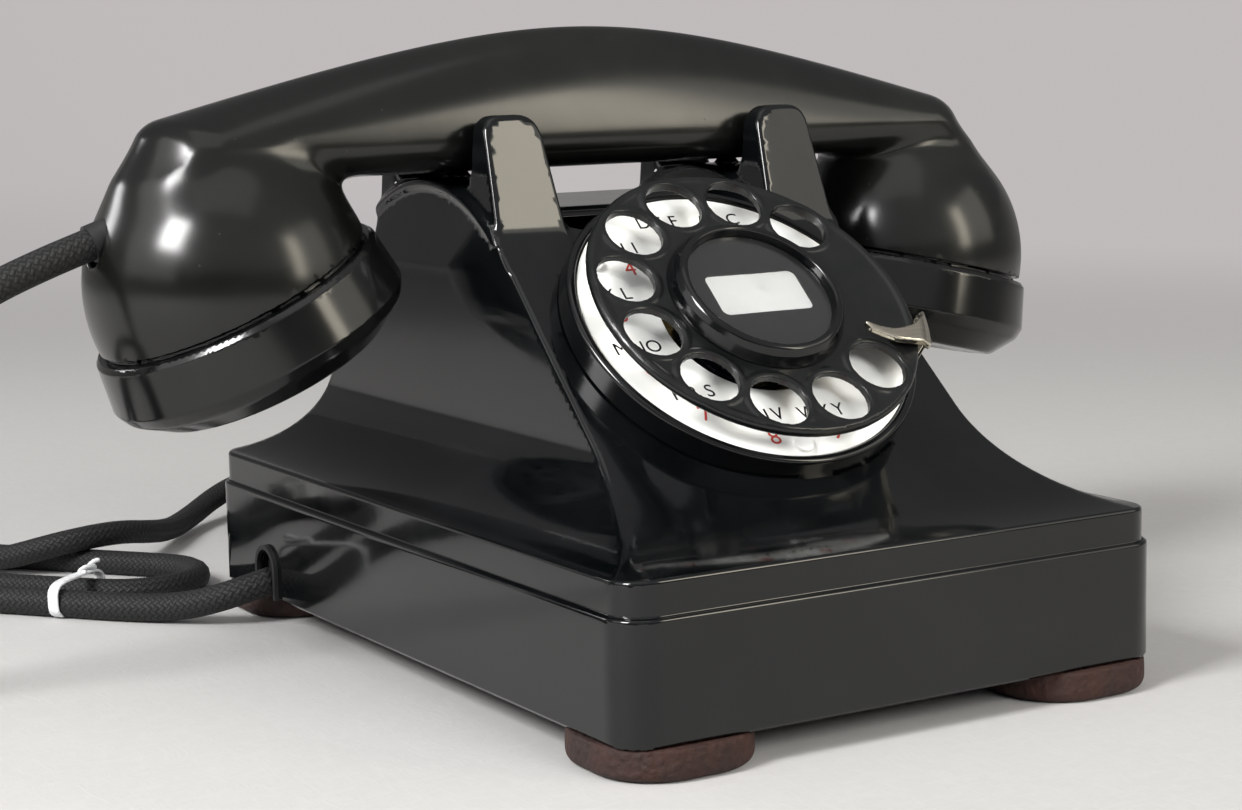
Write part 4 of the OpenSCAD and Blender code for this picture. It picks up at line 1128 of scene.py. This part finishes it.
# Cotton braid on a cord's own map (first part: way along in girths, second: way round from 0 to 1). Two
# sets of slanting strands go over and under each other, the height is the sine of the way across the strand
# that is on top.
def fillBraid(tree, place, per):
    axes = addNode(tree, "ShaderNodeSeparateXYZ", None, {0: place})
    along = times(tree, axes.outputs[0], per)
    around = times(tree, axes.outputs[1], per)
    left = maths(tree, "ADD", along, around)
    right = maths(tree, "SUBTRACT", along, around)
    ridges = []
    for way in (left, right):
        saw = maths(tree, "FRACT", way)
        ridges.append(maths(tree, "SINE", times(tree, saw, math.pi)))
    check = times(tree, maths(tree, "SINE", times(tree, left, math.pi)),
                  maths(tree, "SINE", times(tree, right, math.pi)))
    top = spread(tree, check, -0.12, 0.12)
    turn = maths(tree, "ADD", times(tree, ridges[0], top),
                 times(tree, ridges[1], maths(tree, "SUBTRACT", 1.0, top)))
    thread = noise(tree, stretched(tree, place, (1.0, 6.0, 1.0)), times(tree, per, 2.5), 3.0, 0.7)
    # painted shade: the colour is darker in the grooves between strands and lighter on their crowns, times the
    # thread's own random tone
    tone = times(tree, turn, maths(tree, "ADD", 0.45, times(tree, thread, 0.8)), True)
    height = shares(tree, turn, 0.8, thread, 0.2)
    return tone, height


effects = {
    "polish": newEffect("wiped polish", fillPolish),
    "brush": newEffect("brushed lines", fillBrush),
    "hide": newEffect("leather grain", fillHide),
    "fibre": newEffect("paper fibre", fillFibre),
    "cast": newEffect("cast skin", fillCast),
    "wound": newEffect("wound wire and painted groove shade", fillWound),
    "braid": newEffect("cotton braid and painted groove shade", fillBraid),
}

# effect, size of its grain, height of its grain, the colours at the two ends of its tone, the roughness
# there, and how far it is metal; a finish with no height is a clear sheet
finishes = {
    "black enamel": ("polish", 0.004, 6e-6, (0.0012, 0.0017, 0.002), (0.006, 0.0066, 0.007), (0.06, 0.17)),
    "black moulding": ("polish", 0.005, 7e-6, (0.003, 0.0034, 0.0028), (0.01, 0.0105, 0.009), (0.19, 0.3)),
    "cap moulding": ("polish", 0.004, 5e-6, (0.0025, 0.003, 0.0027), (0.009, 0.0095, 0.009), (0.14, 0.25)),
    "satin wheel": ("cast", 0.0008, 6e-6, (0.0022, 0.0028, 0.0029), (0.007, 0.0078, 0.0078), (0.17, 0.28)),
    "bezel black": ("polish", 0.003, 4e-6, (0.0018, 0.0022, 0.0024), (0.007, 0.0075, 0.008), (0.1, 0.2)),
    "white enamel": ("polish", 0.003, 3e-6, (0.9, 0.905, 0.88), (0.8, 0.8, 0.77), (0.06, 0.18)),
    "black ink": ("cast", 0.0006, 4e-6, (0.006, 0.006, 0.007), (0.02, 0.02, 0.021), (0.12, 0.3)),
    "red ink": ("cast", 0.0006, 4e-6, (0.5, 0.035, 0.028), (0.62, 0.07, 0.05), (0.12, 0.3)),
    "white card": ("fibre", 0.0006, 1.5e-5, (0.88, 0.88, 0.87), (0.94, 0.94, 0.93), (0.6, 0.8)),
    "black card": ("fibre", 0.0006, 1.2e-5, (0.007, 0.007, 0.008), (0.017, 0.017, 0.018), (0.35, 0.55)),
    "brown leather": ("hide", 0.0016, 0.0006, (0.009, 0.003, 0.0022), (0.048, 0.018, 0.013), (0.6, 0.9)),
    # for the two braids the darker colour is painted shade in the grooves between strands, the lighter one is
    # the strands' crowns
    "hand braid": ("braid", 0.0833, 0.00028, (0.001, 0.001, 0.001), (0.007, 0.0071, 0.0069), (0.85, 0.6)),
    "line braid": ("braid", 0.0833, 0.00026, (0.0008, 0.0008, 0.0008), (0.006, 0.0061, 0.006), (0.85, 0.6)),
    "bright nickel": ("brush", 0.0005, 4e-6, (0.62, 0.57, 0.46), (0.78, 0.73, 0.62), (0.1, 0.24), 1.0),
    "plain steel": ("brush", 0.0006, 1e-5, (0.38, 0.37, 0.35), (0.56, 0.55, 0.53), (0.25, 0.45), 1.0),
    "plated steel": ("brush", 0.0009, 8e-6, (0.45, 0.43, 0.37), (0.6, 0.58, 0.5), (0.2, 0.38), 1.0),
    "blued spring": ("brush", 0.0005, 6e-6, (0.05, 0.07, 0.12), (0.12, 0.14, 0.2), (0.18, 0.35), 1.0),
    "cut brass": ("brush", 0.0005, 8e-6, (0.48, 0.33, 0.12), (0.7, 0.52, 0.24), (0.2, 0.42), 1.0),
    "gong bronze": ("brush", 0.0012, 1e-5, (0.42, 0.3, 0.14), (0.62, 0.47, 0.26), (0.14, 0.34), 1.0),
    "nickel silver": ("brush", 0.0004, 6e-6, (0.5, 0.46, 0.36), (0.68, 0.63, 0.52), (0.2, 0.4), 1.0),
    "soft iron": ("cast", 0.001, 3e-5, (0.16, 0.155, 0.15), (0.3, 0.29, 0.28), (0.4, 0.6), 1.0),
    # for the windings the darker colour is painted shade between the turns, the lighter one is the wire's
    # crowns
    "copper winding": ("wound", 0.0004, 6e-5, (0.22, 0.06, 0.025), (0.55, 0.24, 0.1), (0.3, 0.5), 0.6),
    "waxed winding": ("wound", 0.0006, 6e-5, (0.09, 0.055, 0.025), (0.22, 0.15, 0.08), (0.45, 0.65)),
    "tinned can": ("cast", 0.0015, 2e-5, (0.34, 0.34, 0.33), (0.5, 0.5, 0.48), (0.3, 0.5), 1.0),
    "brown board": ("fibre", 0.0008, 1e-5, (0.09, 0.045, 0.022), (0.17, 0.09, 0.045), (0.4, 0.6)),
    "dull paint": ("cast", 0.0009, 4e-5, (0.012, 0.012, 0.013), (0.035, 0.035, 0.037), (0.5, 0.7)),
    "spun aluminium": ("brush", 0.0007, 1e-5, (0.42, 0.42, 0.41), (0.6, 0.6, 0.59), (0.25, 0.45), 1.0),
    "black rubber": ("cast", 0.0006, 2e-5, (0.006, 0.006, 0.006), (0.018, 0.018, 0.018), (0.4, 0.6)),
    "pale plug": ("cast", 0.0012, 1e-5, (0.5, 0.5, 0.48), (0.62, 0.62, 0.6), (0.2, 0.35)),
    "tie strap": ("fibre", 0.0012, 4e-5, (0.62, 0.63, 0.64), (0.85, 0.86, 0.87), (0.35, 0.55)),
    "clear cover": ("polish", 0.004, 0, (0.97, 0.98, 0.98), (0.93, 0.94, 0.93), (0.02, 0.09)),
}


# tone to colour and roughness, height to bump; what is the same all over is set on the shader
def makeFinish(name, effect, size, rise, low, high, rough, metal=0.0):
    m = bpy.data.materials.new(name)
    m.use_nodes = True
    tree = m.node_tree
    shader = tree.nodes["Principled BSDF"]
    place = tree.nodes.new("ShaderNodeTexCoord").outputs["UV" if effect == "braid" else "Object"]
    grain = addNode(tree, "ShaderNodeGroup", {"node_tree": effects[effect]}, {"Place": place, "Size": size})
    tone = grain.outputs["Tone"]
    blend = addNode(tree, "ShaderNodeMix", {"data_type": "RGBA"}, {0: tone, 6: (*low, 1), 7: (*high, 1)})
    gloss = addNode(tree, "ShaderNodeMapRange", None, {"Value": tone, "To Min": rough[0], "To Max": rough[1]})
    tree.links.new(blend.outputs[2], shader.inputs["Base Color"])
    tree.links.new(gloss.outputs[0], shader.inputs["Roughness"])
    shader.inputs["Metallic"].default_value = metal
    if rise:
        bump = addNode(tree, "ShaderNodeBump", None, {"Height": grain.outputs["Height"], "Distance": rise})
        tree.links.new(bump.outputs[0], shader.inputs["Normal"])
    else:
        shader.inputs["Transmission Weight"].default_value = 1.0
        shader.inputs["IOR"].default_value = 1.45
    return m


materials = {name: makeFinish(name, *row) for name, row in finishes.items()}

wornBy = {
    "black enamel": ["housingShell"],
    "black moulding": ["handsetShell"],
    "cap moulding": ["mouthCap", "earCap", "plunger_left", "plunger_right"],
    "satin wheel": ["fingerWheel"],
    "bezel black": ["dialBezel", "cardRing"],
    "clear cover": ["cardCover"],
    "brown leather": ["footFrontLeft", "footFrontRight", "footBackLeft", "footBackRight"],
    "bright nickel": ["fingerStop"],
    "black ink": ["plateLetters"],
    "red ink": ["plateFigures"],
    "hand braid": ["handsetCord"],
    "line braid": ["lineCord"],
    "dull paint": ["base_plate"],
    "plain steel": ["base_screws", "foot_rivets", "main_shaft", "plunger_bar", "gong_posts"],
    "plated steel": ["dial_cup", "governor_drum", "ringer_frame"],
    "white enamel": ["number_plate", "dial_screws"],
    "white card": ["number_card"],
    "black card": ["card_mask"],
    "cut brass": ["drive_gear", "pulse_shaft", "governor_shaft", "governor_weights", "clapper",
                  "terminal_screws"],
    "blued spring": ["mainspring"],
    "nickel silver": ["pulse_springs", "hook_spring_stack", "capsule_springs"],
    "gong bronze": ["gong_left", "gong_right"],
    "copper winding": ["ringer_coils"],
    "soft iron": ["ringer_cores"],
    "waxed winding": ["induction_coil"],
    "tinned can": ["condenser"],
    "brown board": ["terminal_strip"],
    "spun aluminium": ["transmitter_unit", "receiver_unit"],
    "pale plug": ["line_plug"],
    "tie strap": ["tieStrap"],
    "black rubber": ["cord_grommets", "handset_collar"],
}
for finish, names in wornBy.items():
    for name in names:
        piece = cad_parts.get(name) or bpy.data.objects[name]
        piece.data.materials.clear()
        piece.data.materials.append(materials[finish])
print("finishes", len(materials))

# the floor curves up all round into a plain wall, so every side has the same quiet backdrop
sweepSet = {
    "flat": 2.2,  # metres
    "curve": 0.8,
    "top": 0.85,
    "around": 96,
    "grain": 0.002,
    # painted backdrop shade: the camera sees these greys glowing on the far paper, darker to the left, lighter
    # to the right
    "floor": (0.50, 0.493, 0.486),
    "painted far left grey": (0.375, 0.37, 0.371),
    "far right": (0.53, 0.498, 0.50),
    "fade": (0.38, 1.15),  # where the far grey begins and is full
    "sideways": (-0.6, 0.9),  # the same from left to right
}


# a turned surface: flat out to one radius, a quarter circle up, then a wall
def makeSweep(s):
    a = np.linspace(0, math.pi / 2, 24)
    r = np.concatenate([np.linspace(0.05, s["flat"], 16), s["flat"] + s["curve"] * np.sin(a[1:]),
                        [s["flat"] + s["curve"]]])
    z = np.concatenate([np.zeros(16), s["curve"] * (1 - np.cos(a[1:])), [s["top"]]])
    t = np.linspace(0, 2 * math.pi, s["around"], endpoint=False)
    points = np.stack([np.outer(r, np.cos(t)), np.outer(r, np.sin(t)), np.repeat(z[:, None], len(t), 1)], 2)
    faces = reversedFaces(gridFaces(len(r), len(t))).tolist()
    mesh = bpy.data.meshes.new("floor")
    mesh.from_pydata(points.reshape(-1, 3).tolist(), [], faces + [list(range(len(t)))])
    mesh.polygons.foreach_set("use_smooth", np.ones(len(mesh.polygons), bool))
    floor = bpy.data.objects.new("floor", mesh)
    bpy.context.collection.objects.link(floor)
    m = bpy.data.materials.new("pale paper with painted backdrop shade")
    m.use_nodes = True
    tree = m.node_tree
    shader = tree.nodes["Principled BSDF"]
    place = tree.nodes.new("ShaderNodeTexCoord").outputs["Object"]
    effect = addNode(tree, "ShaderNodeGroup", {"node_tree": effects["fibre"]},
                     {"Place": place, "Size": s["grain"]})
    grain = addNode(tree, "ShaderNodeMix", {"data_type": "RGBA", "blend_type": "MULTIPLY"},
                    {0: 0.06, 6: (*s["floor"], 1), 7: effect.outputs["Tone"]})
    bump = addNode(tree, "ShaderNodeBump", None, {"Height": effect.outputs["Height"], "Distance": 0.0001})
    tree.links.new(grain.outputs[2], shader.inputs["Base Color"])
    tree.links.new(bump.outputs[0], shader.inputs["Normal"])
    shader.inputs["Roughness"].default_value = 0.75
    # painted backdrop shade: to the camera the paper turns into an emitted grey with distance, darker to the
    # left and a little lighter to the right; other rays see the plain paper
    axes = addNode(tree, "ShaderNodeSeparateXYZ", None, {0: place})
    away = addNode(tree, "ShaderNodeVectorMath", {"operation": "LENGTH"}, {0: place})
    far = spread(tree, away.outputs["Value"], *s["fade"])
    aside = spread(tree, axes.outputs[0], *s["sideways"])
    grey = addNode(tree, "ShaderNodeMix", {"data_type": "RGBA"},
                   {0: aside, 6: (*s["painted far left grey"], 1), 7: (*s["far right"], 1)})
    glow = addNode(tree, "ShaderNodeEmission", None, {"Color": grey.outputs[2]})
    seen = times(tree, tree.nodes.new("ShaderNodeLightPath").outputs["Is Camera Ray"], far)
    both = addNode(tree, "ShaderNodeMixShader", None, {0: seen, 1: shader.outputs[0], 2: glow.outputs[0]})
    tree.links.new(both.outputs[0], tree.nodes["Material Output"].inputs["Surface"])
    mesh.materials.append(m)


makeSweep(sweepSet)

# lamps: compass angle (0 at the back, 90 to the right), rise, distance, width and height in metres,
# brightness and colour; a soft one is not mirrored in the gloss
lamps = {
    "left window": {"around": -105, "rise": 37, "away": 1.25, "size": (0.36, 0.46),
                    "shine": 36.0, "colour": (1.0, 1.0, 0.99)},
    "left spill": {"around": -92, "rise": 28, "away": 1.35, "size": (1.1, 1.0),
                   "shine": 1.0, "colour": (1.0, 0.99, 0.97)},
    "back left pane": {"around": -37, "rise": 19, "away": 1.3, "size": (0.28, 0.22),
                       "shine": 9.0, "colour": (1.0, 1.0, 1.0)},
    "right soft box": {"around": 133, "rise": 25, "away": 1.3, "size": (0.9, 0.75),
                       "shine": 1.2, "colour": (0.99, 0.96, 0.85)},
    "right strip": {"around": 147, "rise": 23, "away": 1.25, "size": (0.20, 0.60),
                    "shine": 6.8, "colour": (1.0, 0.91, 0.74)},
    "overhead": {"around": -150, "rise": 78, "away": 1.35, "size": (0.9, 0.9),
                 "shine": 0.5, "colour": (1.0, 0.99, 0.97)},
    "dial fill": {"around": 172, "rise": 24, "away": 1.4, "size": (0.5, 0.4),
                  "shine": 17.0, "colour": (1.0, 1.0, 0.99), "soft": True},
}
for name, s in lamps.items():
    data = bpy.data.lights.new(name, "AREA")
    data.shape = "RECTANGLE"
    data.size, data.size_y = s["size"]
    data.energy = s["shine"] * math.pi * data.size * data.size_y
    data.color = s["colour"]
    lamp = bpy.data.objects.new(name, data)
    a, e = math.radians(s["around"]), math.radians(s["rise"])
    way = Vector((math.sin(a) * math.cos(e), math.cos(a) * math.cos(e), math.sin(e)))
    lamp.location = way * s["away"] + Vector((0, 0, 0.06))
    lamp.rotation_euler = way.to_track_quat("Z", "Y").to_euler()
    lamp.visible_camera = False
    lamp.visible_glossy = not s.get("soft", False)
    bpy.context.collection.objects.link(lamp)

room = {
    "towards": (-0.42, -0.80, 0.43),  # brighter this way: the front left and above
    "dim": 0.14,
    "bright": 0.46,
    "between": (-0.55, 0.75),
    "colour": (1.0, 0.985, 0.99, 1),
    "seen": 0.46,  # what the camera sees is the wall's own grey
}


# strength by how far a direction agrees with the brighter one
def makeRoom(s):
    world = bpy.data.worlds.new("room")
    bpy.context.scene.world = world
    world.use_nodes = True
    tree = world.node_tree
    facing = addNode(tree, "ShaderNodeVectorMath", {"operation": "DOT_PRODUCT"},
                     {0: tree.nodes.new("ShaderNodeTexCoord").outputs["Generated"], 1: s["towards"]})
    glow = addNode(tree, "ShaderNodeMapRange", {"interpolation_type": "SMOOTHSTEP"},
                   {"Value": facing.outputs["Value"], "From Min": s["between"][0],
                    "From Max": s["between"][1], "To Min": s["dim"], "To Max": s["bright"]})
    seen = tree.nodes.new("ShaderNodeLightPath").outputs["Is Camera Ray"]
    shown = addNode(tree, "ShaderNodeMix", {"data_type": "FLOAT"},
                    {0: seen, 2: glow.outputs[0], 3: s["seen"]})
    tree.nodes["Background"].inputs[0].default_value = s["colour"]
    tree.links.new(shown.outputs[0], tree.nodes["Background"].inputs[1])


makeRoom(room)
bpy.context.scene.view_settings.view_transform = "Standard"
print("lamps and floor done")
